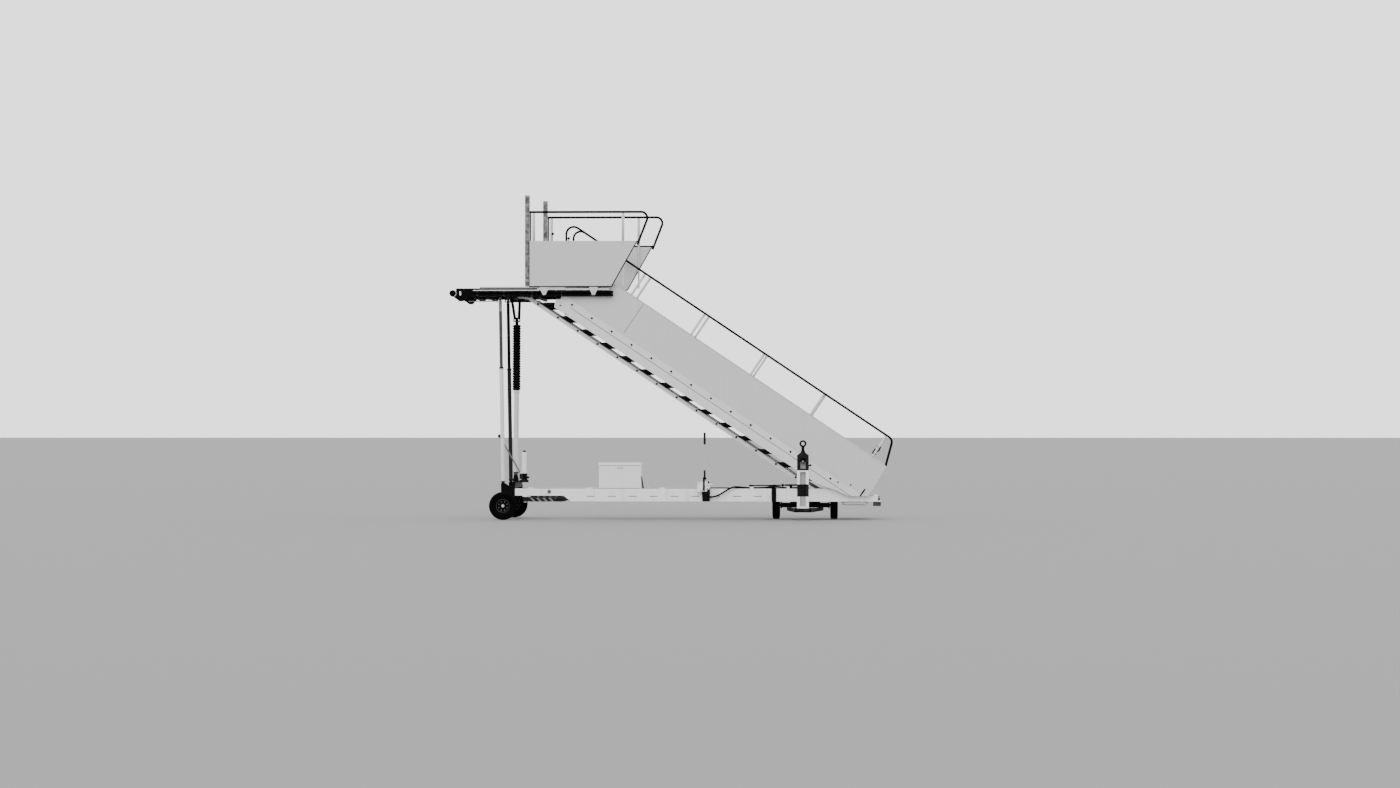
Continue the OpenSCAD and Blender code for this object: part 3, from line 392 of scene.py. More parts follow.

# %% [markdown]
# ## Paints
# A painted finish is a base colour that goes through the edge and weathering groups before it reaches the
# shader. Where one CAD node has two paints, such as the white tank on the black pump, the second colour is
# laid over a band of Object coordinates, exactly where the real paint changes.
# On the tie bars and the struts the same kind of band lays painted shade, not a second paint.

# %% Helper: finishes and their groups
def new_finish(name, roughness=0.5, metallic=0.0, coat=0.0, gloss=0.5):
    finish = bpy.data.materials.new(name)
    finish.use_nodes = True
    shader = finish.node_tree.nodes["Principled BSDF"]
    for socket, value in (("Roughness", roughness), ("Metallic", metallic), ("Coat Weight", coat),
                          ("Specular IOR Level", gloss)):
        shader.inputs[socket].default_value = value
    return finish, finish.node_tree, shader


def feed(tree, shader, values):
    for label, value in values.items():
        tree.links.new(value, shader.inputs[label])


def set_group(tree, group, inputs):
    """The outputs of a shared group that is placed in a tree with its own values"""
    return add_node(tree, "ShaderNodeGroup", inputs, node_tree=group).outputs


def weathered(tree, color, streaks, dust, mottle, dust_color=grey(0.25, 0.04)):
    return set_group(tree, weathering, {"Color": as_color(color), "Dust Color": dust_color, "Streaks": streaks,
                                        "Dust": dust, "Mottle": mottle})


def worn_edges(tree, color, bare, amount, scale):
    return set_group(tree, edge_wear, {"Color": as_color(color), "Bare Color": grey(bare), "Amount": amount,
                                       "Scale": scale})["Color"]


def fine_relief(tree, scale, strength, depth=0.001):
    return set_group(tree, relief, {"Scale": scale, "Strength": strength, "Depth": depth})["Normal"]


def in_band(tree, value, low, high):
    return set_group(tree, band, {"Value": value, "Low": low, "High": high})["Mask"]


def within(tree, limits):
    """A mask that is 1 inside a box of Object coordinates; limits maps 'X', 'Y' or 'Z' to (low, high)"""
    place = split_axes(tree, object_place(tree))
    mask = None
    for axis, (low, high) in limits.items():
        part = in_band(tree, place["XYZ".index(axis)], low, high)
        mask = part if mask is None else calc(tree, "MULTIPLY", mask, part)
    return mask


def across_flight(tree, low, high):
    """A mask that is 1 where a point lies between two heights across the slope of the flight"""
    place = split_axes(tree, object_place(tree))
    rise = calc(tree, "MULTIPLY", place[0], math.sin(SLOPE))
    lift = calc(tree, "MULTIPLY", place[2], math.cos(SLOPE))
    start = FIRST_BOLT[0] * math.sin(SLOPE) + FIRST_BOLT[1] * math.cos(SLOPE)
    return in_band(tree, calc(tree, "ADD", rise, lift), start + low, start + high)


# %% Helper: a painted finish
def paint(name, base, over=(), streaks=0.25, dust=0.35, mottle=0.06, wear=0.6, bare=0.25, roughness=0.42,
          coat=0.15, gloss=0.5):
    """A painted finish; over lists (limits, colour) for second colours, and a number stands for a grey"""
    finish, tree, shader = new_finish(name, roughness, coat=coat, gloss=gloss)
    color = base
    for limits, second in over:
        mask = across_flight(tree, *limits) if isinstance(limits, tuple) else within(tree, limits)
        color = mix_colors(tree, mask, color, second)
    dirty = weathered(tree, worn_edges(tree, color, bare, wear, 25.0), streaks, dust, mottle, grey(0.20, 0.05))
    feed(tree, shader, {"Base Color": dirty["Color"], "Normal": fine_relief(tree, 320.0, 0.06, 0.0006),
                        "Roughness": ramp(tree, dirty["Dirt"], 0.0, 1.0, roughness, 0.85)})
    return finish


WHITE, BLACK, PALE = 0.74, 0.002, 0.52
white_paint = paint("white_paint", WHITE, streaks=0.18, dust=0.25, mottle=0.02)
panel_paint = paint("panel_paint", 0.47, streaks=0.06, dust=0.08, mottle=0.01, wear=0.3)
black_paint = paint("black_paint", BLACK, streaks=0.03, dust=0.05, mottle=0.01, wear=0.25, bare=0.06, coat=0.0,
                    gloss=0.01)
print("base paints ready")

# %% [markdown]
# ## Two-colour nodes
# The chassis carries a black tail bracket, the pump a white tank, the pedestal a black lever, the tool box
# a black stay, and the tow bar has wide bands. Each gets its own paint with the second colour in place.

# %% Two-colour paints
chassis_paint = paint("chassis_paint", WHITE, over=[({"X": (5.4, 5.7), "Z": (0.1, 0.2708)}, BLACK)],
                      streaks=0.3, dust=0.5, mottle=0.03, coat=0.0, gloss=0.3)
fixed_step_paint = paint("fixed_step_paint", PALE, over=[({"Z": (0.28, 0.6)}, 0.09)], dust=0.5)
pedestal_paint = paint("pedestal_paint", WHITE, over=[
    ({"Z": (0.6015, 0.738)}, BLACK), ({"Z": (0.7381, 1.119)}, 0.42), ({"Z": (1.1191, 2)}, BLACK),
    ({"X": (2.9455, 3.2), "Z": (0.0, 0.424)}, BLACK), ({"X": (2.958, 2.990), "Z": (0.43, 0.598)}, 0.02),
    ({"X": (3.0205, 3.2), "Z": (0.0, 0.47)}, BLACK)], streaks=0.15, dust=0.12, mottle=0.02, coat=0.0, gloss=0.03)
tool_box_paint = paint("tool_box_paint", 0.66, over=[({"X": (2.0355, 2.2)}, BLACK)], streaks=0.12, dust=0.15,
                       mottle=0.015, coat=0.0, gloss=0.3)
pump_paint = paint("pump_paint", BLACK, over=[
    ({"X": (0.18, 0.3), "Z": (0.6802, 0.9999)}, WHITE), ({"X": (-0.11, 0.186), "Z": (0.68, 1.215)}, 0.12)],
    dust=0.05, mottle=0.02, coat=0.0, gloss=0.02)

# %% [markdown]
# The tow bar is a lipped channel. Its floor lies in shade, so it gets a darker grey than its lips. The
# window in its black head shows the same floor, just below the grey end of a small pin.

# %% Tow bar paint
CHANNEL_FLOOR = (-1.6255, -1.618)
tow_bar_paint = paint("tow_bar_paint", WHITE, over=[
    ({"Y": CHANNEL_FLOOR, "Z": (0.19, 0.743)}, 0.40), ({"Z": (0.743, 1.2)}, BLACK),
    ({"Z": (0.36, 0.54)}, BLACK), ({"Z": (0.0, 0.19)}, BLACK),
    ({"X": (4.4205, 4.4995), "Y": CHANNEL_FLOOR, "Z": (0.767, 0.868)}, 0.36),
    ({"X": (4.449, 4.471), "Y": (-1.680, -1.670), "Z": (0.861, 0.883)}, 0.25)],
    streaks=0.08, dust=0.05, coat=0.0, gloss=0.02)
print("two-colour paints ready")

# %% [markdown]
# ## Hazard stripes
# The stabiliser arms stick out when they are swung open, so they wear slanted dark stripes. A saw along
# X plus Z, cut hard at one share of its pitch, gives straight stripes at 45 degrees without any picture.

# %% Hazard paint
STRIPE_PITCH, DARK_SHARE = 0.092, 0.62


def make_hazard_paint():
    finish, tree, shader = new_finish("hazard_paint", 0.5, gloss=0.02)
    place = split_axes(tree, object_place(tree))
    saw = calc(tree, "MULTIPLY", calc(tree, "ADD", place[0], place[2]), 1 / STRIPE_PITCH)
    dark = calc(tree, "LESS_THAN", calc(tree, "FRACT", saw), DARK_SHARE)
    field = within(tree, {"X": (0.36, 0.765), "Z": (0.2, 0.3235)})
    color = mix_colors(tree, field, BLACK, mix_colors(tree, dark, 0.14, BLACK))
    dirty = weathered(tree, worn_edges(tree, color, 0.3, 0.8, 30.0), 0.1, 0.15, 0.04)
    feed(tree, shader, {"Base Color": dirty["Color"], "Normal": fine_relief(tree, 110.0, 0.15)})
    return finish


hazard_paint = make_hazard_paint()

# %% [markdown]
# ## Metals, rubber and treads
# Bare metal needs a little brushed grain and darker stains in it. Rubber is nearly black and rough, and
# it greys with dust. The tall posts of the guards are galvanised, which shows as crystals with dark stains.

# %% Steel and rubber
def make_steel(name, base, stretch=(4, 4, 120), roughness=0.32):
    """Brushed metal with stains; stretch draws the grain out"""
    finish, tree, shader = new_finish(name, roughness, 1.0)
    place = object_place(tree)
    brushed = noise(tree, mapped(tree, place, Scale=stretch), 6.0, 6)
    stain = ramp(tree, noise(tree, place, 7.0, 6), 0.5, 0.75, 0.0, 0.8)
    feed(tree, shader, {"Base Color": mix_colors(tree, stain, base, grey(base * 0.45, 0.05)),
                        "Roughness": ramp(tree, brushed, 0.3, 0.7, roughness * 0.8, roughness * 1.6),
                        "Normal": add_bump(tree, brushed, 0.08)})
    return finish


def make_rubber(name, base=0.004, roughness=0.75, dust=0.08, scale=220.0):
    finish, tree, shader = new_finish(name, roughness, gloss=0.01)
    dirty = weathered(tree, base, 0.03, dust, 0.05, grey(0.06, 0.05))
    feed(tree, shader, {"Base Color": dirty["Color"], "Normal": fine_relief(tree, scale, 0.35)})
    return finish


# %% Galvanised posts, and every finish of this step
def make_galvanised():
    """Mottled zinc on the tall posts; the slim round posts beside them are painted pale"""
    finish, tree, shader = new_finish("galvanised", 0.55, 0.2)
    place = object_place(tree)
    crystals = add_node(tree, "ShaderNodeTexVoronoi", {"Vector": place, "Scale": 26.0}).outputs["Color"]
    crystals = split_axes(tree, crystals)[0]
    stains = ramp(tree, noise(tree, place, 14.0, 6), 0.42, 0.62)
    color = mix_colors(tree, stains, mix_colors(tree, crystals, 0.10, 0.27), 0.05)
    for slim in ({"X": (0.4225, 3.0), "Y": (-0.9, 0.0)}, {"X": (0.5625, 3.0), "Y": (0.0, 0.9)}):
        color = mix_colors(tree, within(tree, slim), color, 0.36)
    feed(tree, shader, {"Base Color": color, "Normal": add_bump(tree, crystals, 0.15)})
    return finish


bare_steel = make_steel("bare_steel", 0.30)
# The steel rods of the struts get a dark grey that is painted shade, a paler band at the top that is a painted
# highlight, and black on the far side that is painted shade.
strut_rod_painted_shade = paint("strut_rod_painted_shade", 0.05, over=[({"Z": (3.10, 3.5)}, 0.20), ({"Y": (0.3, 1.0)}, BLACK)],
                    streaks=0.15, dust=0.05, mottle=0.03, coat=0.0, gloss=0.02)
bolt_steel = make_steel("bolt_steel", 0.05, stretch=(20, 20, 20), roughness=0.4)
bright_steel = make_steel("bright_steel", 0.65, stretch=(30, 30, 30), roughness=0.25)
rubber = make_rubber("rubber")
hose_rubber = make_rubber("hose_rubber", base=0.003, roughness=0.55, dust=0.05, scale=400.0)
galvanised = make_galvanised()
# The treads are coloured near black as painted shade: they are seen from below, in the shade of the flight.
tread_grey = paint("tread_grey", 0.008, streaks=0.03, dust=0.06, mottle=0.03, wear=0.5, bare=0.10,
                   roughness=0.55, coat=0.0, gloss=0.01)
print("finishes:", len(bpy.data.materials))

# %% [markdown]
# ## Tyres, rims and lamps
# A wheel turns about its own middle, so its patterns are laid out round that middle too. A Mapping node
# moves the origin to the hub, and the distance from the hub then tells tyre wall, rim, studs and cap apart.

# %% Helper: distance from a hub
def hub_space(tree, hub, axis):
    """Position along the hub's axis, the distance from it, and the angle round it"""
    split = split_axes(tree, mapped(tree, object_place(tree), Location=tuple(-c for c in hub)))
    across, along = (split[0], split[1]) if axis == "Y" else (split[1], split[0])
    flat = add_node(tree, "ShaderNodeCombineXYZ", {0: across, 2: split[2]}).outputs[0]
    reach = add_node(tree, "ShaderNodeVectorMath", {0: flat}, operation="LENGTH").outputs["Value"]
    return along, reach, calc(tree, "ARCTAN2", split[2], across)


# %% Tyre rubber
TYRE_WALL, TYRE_TREAD = (0.125, 0.178), (0.192, 0.30)
WALL_WAVE, BLOCK_WAVE, GROOVE_WAVE = 520.0, 44.0, 210.0


def make_tyre(name, hub, axis):
    """Fine rings on the wall, and a tread with grooves round it and cuts across it"""
    finish, tree, shader = new_finish(name, 0.85, gloss=0.01)
    along, reach, angle = hub_space(tree, hub, axis)
    rings = calc(tree, "SINE", calc(tree, "MULTIPLY", reach, WALL_WAVE))
    rings = calc(tree, "MULTIPLY", rings, in_band(tree, reach, *TYRE_WALL))
    blocks = calc(tree, "SINE", calc(tree, "MULTIPLY", angle, BLOCK_WAVE))
    grooves = calc(tree, "COSINE", calc(tree, "MULTIPLY", along, GROOVE_WAVE))
    cuts = calc(tree, "MAXIMUM", calc(tree, "GREATER_THAN", grooves, 0.80),
                calc(tree, "GREATER_THAN", blocks, 0.75))
    cuts = calc(tree, "MULTIPLY", cuts, in_band(tree, reach, *TYRE_TREAD))
    height = calc(tree, "SUBTRACT", rings, cuts)
    dirty = weathered(tree, 0.002, 0.0, 0.15, 0.05, grey(0.02, 0.05))
    skin = fine_relief(tree, 260.0, 0.2)
    feed(tree, shader, {"Base Color": mix_colors(tree, cuts, dirty["Color"], 0.004),
                        "Normal": add_bump(tree, height, 0.6, 0.003, Normal=skin)})
    return finish


# %% Rim paint
RIM_STUDS, RIM_EDGE, HUB_CAP = (0.0600, 0.0720), (0.092, 0.099), (-1.0, 0.022)


def make_rim(name, hub, axis):
    """Black rim with a slightly paler edge, grey wheel studs and a pale hub cap"""
    finish, tree, shader = new_finish(name, 0.55, gloss=0.02)
    along, reach, angle = hub_space(tree, hub, axis)
    eighth = calc(tree, "COSINE", calc(tree, "MULTIPLY", angle, 8.0))
    studs = calc(tree, "MULTIPLY", in_band(tree, reach, *RIM_STUDS), calc(tree, "LESS_THAN", eighth, -0.72))
    color = mix_colors(tree, studs, BLACK, 0.16)
    color = mix_colors(tree, in_band(tree, reach, *RIM_EDGE), color, 0.05)
    color = mix_colors(tree, in_band(tree, reach, *HUB_CAP), color, 0.38)
    dirty = weathered(tree, color, 0.02, 0.1, 0.03, grey(0.05))
    feed(tree, shader, {"Base Color": dirty["Color"], "Normal": fine_relief(tree, 120.0, 0.15)})
    return finish


# %% Tyres and rims get their finishes
HUB_Z = 0.2075
WHEELS = {"rear_near": (0, -0.89, "Y"), "rear_far": (0, 0.89, "Y"),
          "front_rear": (4.027, 0, "X"), "front_fore": (4.893, 0, "X")}


def dress(node, finish):
    for place in nodes[node].material_slots:
        place.material = finish


for name, (x, y, axis) in WHEELS.items():
    end, spot = name.split("_")
    dress(f"{end}_tyre_{spot}", make_tyre("tyre_" + name, (x, y, HUB_Z), axis))
    dress(f"{end}_rim_{spot}", make_rim("rim_" + name, (x, y, HUB_Z), axis))
print("wheels dressed:", len(WHEELS))


# %% Lamps: a ribbed lens
def make_lens():
    finish, tree, shader = new_finish("lamp_lens", 0.18, coat=0.6)
    ribs = calc(tree, "SINE", calc(tree, "MULTIPLY", split_axes(tree, object_place(tree))[2], 900.0))
    feed(tree, shader, {"Base Color": mix_colors(tree, ramp(tree, ribs, -1.0, 1.0), 0.012, 0.030),
                        "Normal": add_bump(tree, ribs, 0.5)})
    return finish


lamp_lens = make_lens()

# %% [markdown]
# ## Finishes on the CAD nodes
# The CAD nodes keep their own meshes, and only the material in their slots changes. Most take one of the
# finishes above, and the paints that only one node wears are mixed here.

# %% Paints of the flight, the platform and the lift
flight_paint = paint("flight_paint", 0.48, streaks=0.08, dust=0.10, mottle=0.012, wear=0.3)
stringer_paint = paint("stringer_paint", 0.58, streaks=0.12, dust=0.15, mottle=0.02, wear=0.4)
# The black band along the upper edge of the tie bars, 0.0205 to 0.050 across the slope, is painted shade on the inner
# side of the bar.
tie_bar_paint_and_shade = paint("tie_bar_paint_and_shade", 0.62, over=[((0.0205, 0.050), BLACK)], streaks=0.15, dust=0.2,
                      mottle=0.02, wear=0.5)
stanchion_paint = paint("stanchion_paint", 0.45, streaks=0.1, dust=0.1, mottle=0.02)
platform_paint = paint("platform_paint", BLACK, over=[
    ({"Z": (3.2, 3.2705), "X": (-0.6, -0.1), "Y": (-0.52, -0.44)}, PALE)],
    streaks=0.03, dust=0.04, mottle=0.01, wear=0.3, bare=0.08, coat=0.0, gloss=0.01)
deck_paint = paint("deck_paint", 0.10, over=[
    ({"Z": (3.30, 3.4435)}, BLACK), ({"Z": (3.4436, 3.4595)}, 0.40), ({"Z": (3.41, 3.4385), "X": (0.5, 1.7)}, PALE)],
    streaks=0.1, dust=0.4, mottle=0.2, roughness=0.6)
lift_paint = paint("lift_paint", 0.55, over=[({"Z": (0.5, 0.705)}, BLACK)], streaks=0.3, dust=0.2, mottle=0.05)
# On the struts of the far side (Y 0.3 to 1.0) the near-black grey is painted shade.
strut_paint_and_shade = paint("strut_paint_and_shade", 0.60, over=[
    ({"Y": (0.3, 1.0)}, 0.012), ({"Z": (0.4, 0.575)}, BLACK), ({"Z": (2.245, 2.30)}, BLACK)],
    streaks=0.2, dust=0.1, mottle=0.03, coat=0.0, gloss=0.04)

# %% Dress the CAD nodes
FINISHES = {
    "chassis_frame": chassis_paint, "fixed_steps": fixed_step_paint, "rear_axle": black_paint,
    "tool_box": tool_box_paint, "box_lid": white_paint, "lever_pedestal": pedestal_paint, "hand_pump": pump_paint,
    "brake_lever": black_paint, "end_lamps": lamp_lens, "steer_axle": black_paint, "tow_bar": tow_bar_paint,
    "tow_eye": black_paint, "stair_stringers": stringer_paint, "stair_cheeks": flight_paint,
    "stair_handrails": black_paint, "rail_stanchions": stanchion_paint, "tie_bars": tie_bar_paint_and_shade,
    "platform_frame": platform_paint, "platform_rails": black_paint, "platform_deck": deck_paint,
    "platform_extension": black_paint, "guard_panel_near": panel_paint, "guard_panel_far": panel_paint,
    "guard_rail_near": black_paint, "guard_rail_far": black_paint, "guard_post_near": galvanised,
    "guard_post_far": galvanised, "lift_barrel": lift_paint, "lift_rod": black_paint, "strut_tubes": strut_paint_and_shade,
    "strut_rods": strut_rod_painted_shade, "stabiliser_near": hazard_paint, "stabiliser_far": hazard_paint,
    **{f"step_{k:02d}": tread_grey for k in range(1, STEP_COUNT + 1)},
}
for node, finish in FINISHES.items():
    dress(node, finish)
undressed = [n for n, o in nodes.items() if not any(s.material and s.material.use_nodes for s in o.material_slots)]
print("nodes still bare:", undressed)

# %% [markdown]
# ## Things that repeat: a Geometry Nodes tree for fasteners
# A machine like this has hundreds of bolts and rivets. One tree makes them all: it takes a mesh that has only
# points, reads on each point which way it faces, and sets a head with its washer there. A small random turn
# with a fixed seed keeps the hexagons from lining up, as on a real machine.

# %% Helper: Geometry Nodes trees
def new_tree(name, inputs):
    """A tree with named inputs, the finish among them"""
    tree = bpy.data.node_groups.new(name, "GeometryNodeTree")
    tree.interface.new_socket("Geometry", in_out="INPUT", socket_type="NodeSocketGeometry")
    for label, kind, value in inputs:
        tree.interface.new_socket(label, in_out="INPUT", socket_type=kind).default_value = value
    tree.interface.new_socket("Finish", in_out="INPUT", socket_type="NodeSocketMaterial")
    tree.interface.new_socket("Geometry", in_out="OUTPUT", socket_type="NodeSocketGeometry")
    return tree, tree.nodes.new("NodeGroupInput").outputs


def end_tree(tree, given, geometry):
    whole = add_node(tree, "GeometryNodeRealizeInstances", {"Geometry": geometry}).outputs[0]
    coated = add_node(tree, "GeometryNodeSetMaterial", {"Geometry": whole, "Material": given["Finish"]}).outputs[0]
    add_node(tree, "NodeGroupOutput", {"Geometry": coated})
    return tree


def named_vector(tree, name):
    read = add_node(tree, "GeometryNodeInputNamedAttribute", {"Name": name}, data_type="FLOAT_VECTOR")
    return read.outputs["Attribute"]


def place_axes(tree):
    return split_axes(tree, add_node(tree, "GeometryNodeInputPosition").outputs[0])


# %% Tree: heads on points
def make_head_tree():
    """A head with its washer on each point, turned to face the way that the point says"""
    tree, given = new_tree("heads_on_points", [("Radius", FLOAT, 0.008), ("Height", FLOAT, 0.005), ("Sides", INT, 6)])
    radius, height = given["Radius"], given["Height"]
    both = tree.nodes.new("GeometryNodeJoinGeometry")
    for sides, bottom, top, depth in (
            (given["Sides"], radius, calc(tree, "MULTIPLY", radius, 0.82), height),
            (12, calc(tree, "MULTIPLY", radius, 1.4), calc(tree, "MULTIPLY", radius, 1.3),
             calc(tree, "MULTIPLY", height, 0.22))):
        cone = add_node(tree, "GeometryNodeMeshCone", {
            "Vertices": sides, "Radius Bottom": bottom, "Radius Top": top, "Depth": depth})
        tree.links.new(cone.outputs["Mesh"], both.inputs[0])
    facing = {"Vector": named_vector(tree, "facing")}
    aligned = add_node(tree, "FunctionNodeAlignRotationToVector", facing, axis="Z").outputs[0]
    spin = add_node(tree, "FunctionNodeRandomValue", {0: (0, 0, 0), 1: (0, 0, 1.05), "Seed": 7},
                    data_type="FLOAT_VECTOR").outputs[0]
    turned = add_node(tree, "FunctionNodeEulerToRotation", {0: spin}).outputs[0]
    rotation = add_node(tree, "FunctionNodeRotateRotation", {0: aligned, 1: turned}, rotation_space="LOCAL").outputs[0]
    set_out = add_node(tree, "GeometryNodeInstanceOnPoints", {
        "Points": given["Geometry"], "Instance": both.outputs[0], "Rotation": rotation}).outputs[0]
    return end_tree(tree, given, set_out)


head_tree = make_head_tree()


# %% Tree: ribs on points
def make_rib_tree():
    """Each point gets a bar with sloping flanks; its size along X, Y and Z is read from the point"""
    tree, given = new_tree("ribs_on_points", [("Crown", FLOAT, 0.4)])
    block = add_node(tree, "GeometryNodeMeshCube", {"Size": (1, 1, 1)}).outputs["Mesh"]
    x, y, z = place_axes(tree)
    narrow = calc(tree, "MULTIPLY", z, given["Crown"])
    narrow = calc(tree, "ADD", calc(tree, "MULTIPLY", given["Crown"], 0.5), narrow)
    narrow = calc(tree, "SUBTRACT", 1.0, narrow)
    shaped = add_node(tree, "ShaderNodeCombineXYZ", {
        0: calc(tree, "MULTIPLY", x, narrow), 1: y, 2: calc(tree, "ADD", z, 0.5)}).outputs[0]
    bar = add_node(tree, "GeometryNodeSetPosition", {"Geometry": block, "Position": shaped}).outputs[0]
    turned = add_node(tree, "FunctionNodeEulerToRotation", {0: named_vector(tree, "facing")}).outputs[0]
    set_out = add_node(tree, "GeometryNodeInstanceOnPoints", {
        "Points": given["Geometry"], "Instance": bar, "Rotation": turned,
        "Scale": named_vector(tree, "size")}).outputs[0]
    return end_tree(tree, given, set_out)


rib_tree = make_rib_tree()


# %% Helper: grow a piece from points
def grown_mesh(name, tree, points, finish, values, **vectors):
    """Points become a plain mesh through a tree; vectors holds one list of vectors for each attribute name"""
    seeds = bpy.data.meshes.new(name)
    seeds.from_pydata(points, [], [])
    for label, rows in vectors.items():
        attribute = seeds.attributes.new(label, "FLOAT_VECTOR", "POINT")
        attribute.data.foreach_set("vector", [c for row in rows for c in row])
    holder = bpy.data.objects.new(name + "_points", seeds)
    bpy.context.scene.collection.objects.link(holder)
    modifier = holder.modifiers.new("grow", "NODES")
    modifier.node_group = tree
    sockets = {s.name: s.identifier for s in tree.interface.items_tree if s.in_out == "INPUT"}
    for label, value in {**values, "Finish": finish}.items():
        modifier[sockets[label]] = value
    bpy.context.view_layer.update()
    grown = bpy.data.meshes.new_from_object(holder.evaluated_get(bpy.context.evaluated_depsgraph_get()))
    holder.modifiers.remove(modifier)
    bpy.data.objects.remove(holder)
    grown.name = name
    return grown


def grow_heads(name, rows, body, finish, radius=0.008, height=0.005, sides=6):
    """rows lists (point, facing) pairs"""
    values = {"Radius": radius, "Height": height, "Sides": sides}
    mesh = grown_mesh(name, head_tree, [p for p, f in rows], finish, values, facing=[f for p, f in rows])
    return finish_piece(name, mesh, finish, body)


def grow_ribs(name, rows, body, finish):
    """rows lists (point, size) pairs"""
    mesh = grown_mesh(name, rib_tree, [p for p, s in rows], finish, {"Crown": 0.4},
                      facing=[(0, 0, 0) for _ in rows], size=[s for p, s in rows])
    return finish_piece(name, mesh, finish, body)


def both_sides(points):
    """Rows of (point, facing) for the same points on the near and the far side, facing outwards"""
    return [((x, side * y, z), (0, side, 0)) for x, y, z in points for side in SIDES]


# %% [markdown]
# ## Moving steps
# Each of the fourteen steps has a treaded plate with ribs across it, so that shoes grip in rain, and a pale
# nosing along its front edge. Ribs are the same on every step, so the rib tree grows them from a row of points.

# %% Ribs and nosing on the steps
TREAD_BACK, TREAD_FRONT, TREAD_TOP = 0.100, 0.450, 0.022
RIB_COUNT, RIB_INSET, RIB_FREE, RIB_SINK = 12, 0.02, 0.07, 0.0005
RIB_PITCH = (TREAD_FRONT - TREAD_BACK - RIB_FREE) / (RIB_COUNT - 1)
RIB_SIZE = (0.010, 1.26, 0.0035)
for k in range(1, STEP_COUNT + 1):
    step = f"step_{k:02d}"
    x, z = on_flight((k - 2) * STEP_PITCH, 0)
    top = z + TREAD_TOP
    ribs = [(x + TREAD_BACK + RIB_INSET + i * RIB_PITCH, 0, top - RIB_SINK) for i in range(RIB_COUNT)]
    grow_ribs(step + "_ribs", [(place, RIB_SIZE) for place in ribs], step, tread_grey)
    make_piece(step + "_nosing", bare_steel, step, add_block, [
        ((x + TREAD_FRONT - 0.034, -0.655, top - 0.001), (x + TREAD_FRONT - 0.004, 0.655, top + 0.003))], bevel=0.0015)

# %% [markdown]
# ## Ribbed deck
# The platform and the extension in front of it carry the same sort of ribs, set further apart.

# %% Ribs on the deck and the extension
for name, body, count, start, pitch, top, size in (
        ("deck_ribs", "platform", 22, -0.34, 0.0405, 3.4595, (0.014, 1.46, 0.004)),
        ("extension_ribs", "extension", 16, -0.700, 0.032, 3.4395, (0.012, 1.38, 0.0025))):
    grow_ribs(name, [((start + i * pitch, 0, top), size) for i in range(count)], body, deck_paint)

# %% [markdown]
# ## The bellows over the lift rod
# A rubber bellows keeps dirt off the rod, and its folds close up like a concertina when the stairs go down.
# The radius swings between ridge and valley once per fold, so a tree can turn a plain tube into the bellows.

# %% Tree: bellows
def make_bellows_tree():
    tree, given = new_tree("bellows", [
        ("Ridge", FLOAT, 0.065), ("Valley", FLOAT, 0.047), ("Length", FLOAT, 0.98), ("Folds", INT, 26)])
    tube = add_node(tree, "GeometryNodeMeshCylinder", {
        "Vertices": 48, "Side Segments": calc(tree, "MULTIPLY", given["Folds"], 8), "Radius": 1.0,
        "Depth": given["Length"]}).outputs["Mesh"]
    x, y, z = place_axes(tree)
    along = calc(tree, "ADD", calc(tree, "DIVIDE", z, given["Length"]), 0.5)
    wave = calc(tree, "MULTIPLY", calc(tree, "MULTIPLY", along, given["Folds"]), 2 * math.pi)
    rise = calc(tree, "POWER", ramp(tree, calc(tree, "COSINE", wave), 1.0, -1.0), 0.75)
    reach = ramp(tree, rise, 0.0, 1.0, given["Valley"], given["Ridge"])
    shaped = add_node(tree, "ShaderNodeCombineXYZ", {
        0: calc(tree, "MULTIPLY", x, reach), 1: calc(tree, "MULTIPLY", y, reach), 2: along}).outputs[0]
    placed = add_node(tree, "GeometryNodeSetPosition", {"Geometry": tube, "Position": shaped}).outputs[0]
    return end_tree(tree, given, placed)


# %% Bellows on the rod
LIFT_FOOT = Vector((0.111, 0, 0.640))
LIFT_WAY = Vector((0.005544, 0, 0.999985))
BELLOWS_FROM, BELLOWS_TO = 1.2925, 2.2745
length = BELLOWS_TO - BELLOWS_FROM
mesh = grown_mesh("rod_bellows", make_bellows_tree(), [], hose_rubber,
                  {"Ridge": 0.0648, "Valley": 0.049, "Length": length, "Folds": 26})
mesh.transform(to_axis(LIFT_FOOT + LIFT_WAY * BELLOWS_FROM, LIFT_WAY) @ Matrix.Diagonal((1, 1, length, 1)))
for face in mesh.polygons:
    face.use_smooth = True
piece = finish_piece("rod_bellows", mesh, hose_rubber, "lift_barrel", ("lift_bellows",))
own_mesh(piece)

# %% [markdown]
# ## The bumper roller
# The front of the platform meets the aircraft door with a soft roller. Its rubber is turned with shallow
# grooves. On the extension's side plates a dark disc covers each end, inside a pale half ring.
# The pale half ring is a painted highlight on the rounded edge of the bumper housing.

# %% Bumper roller
BUMPER_X, BUMPER_Z, BUMPER_R = -0.7703, 3.366, 0.050
HALF_BUMPER = 0.7165
end = [(0.0, -HALF_BUMPER), (0.030, -HALF_BUMPER), (0.034, -HALF_BUMPER + 0.001),
       (BUMPER_R - 0.005, -HALF_BUMPER + 0.003), (BUMPER_R, -HALF_BUMPER + 0.010)]
profile = list(end)
groove = -HALF_BUMPER + 0.08
while groove < HALF_BUMPER - 0.06:
    profile += [(BUMPER_R - deep, groove + h)
                for deep, h in ((0, -0.006), (0.0025, -0.003), (0.0025, 0.003), (0, 0.006))]
    groove += 0.0955
profile += [(radius, -h) for radius, h in end[::-1]]
make_piece("bumper_roller", rubber, "extension", add_turned, [(profile, (BUMPER_X, 0, BUMPER_Z), (0, 1, 0))], True,
           ("bumper",), sides=48)

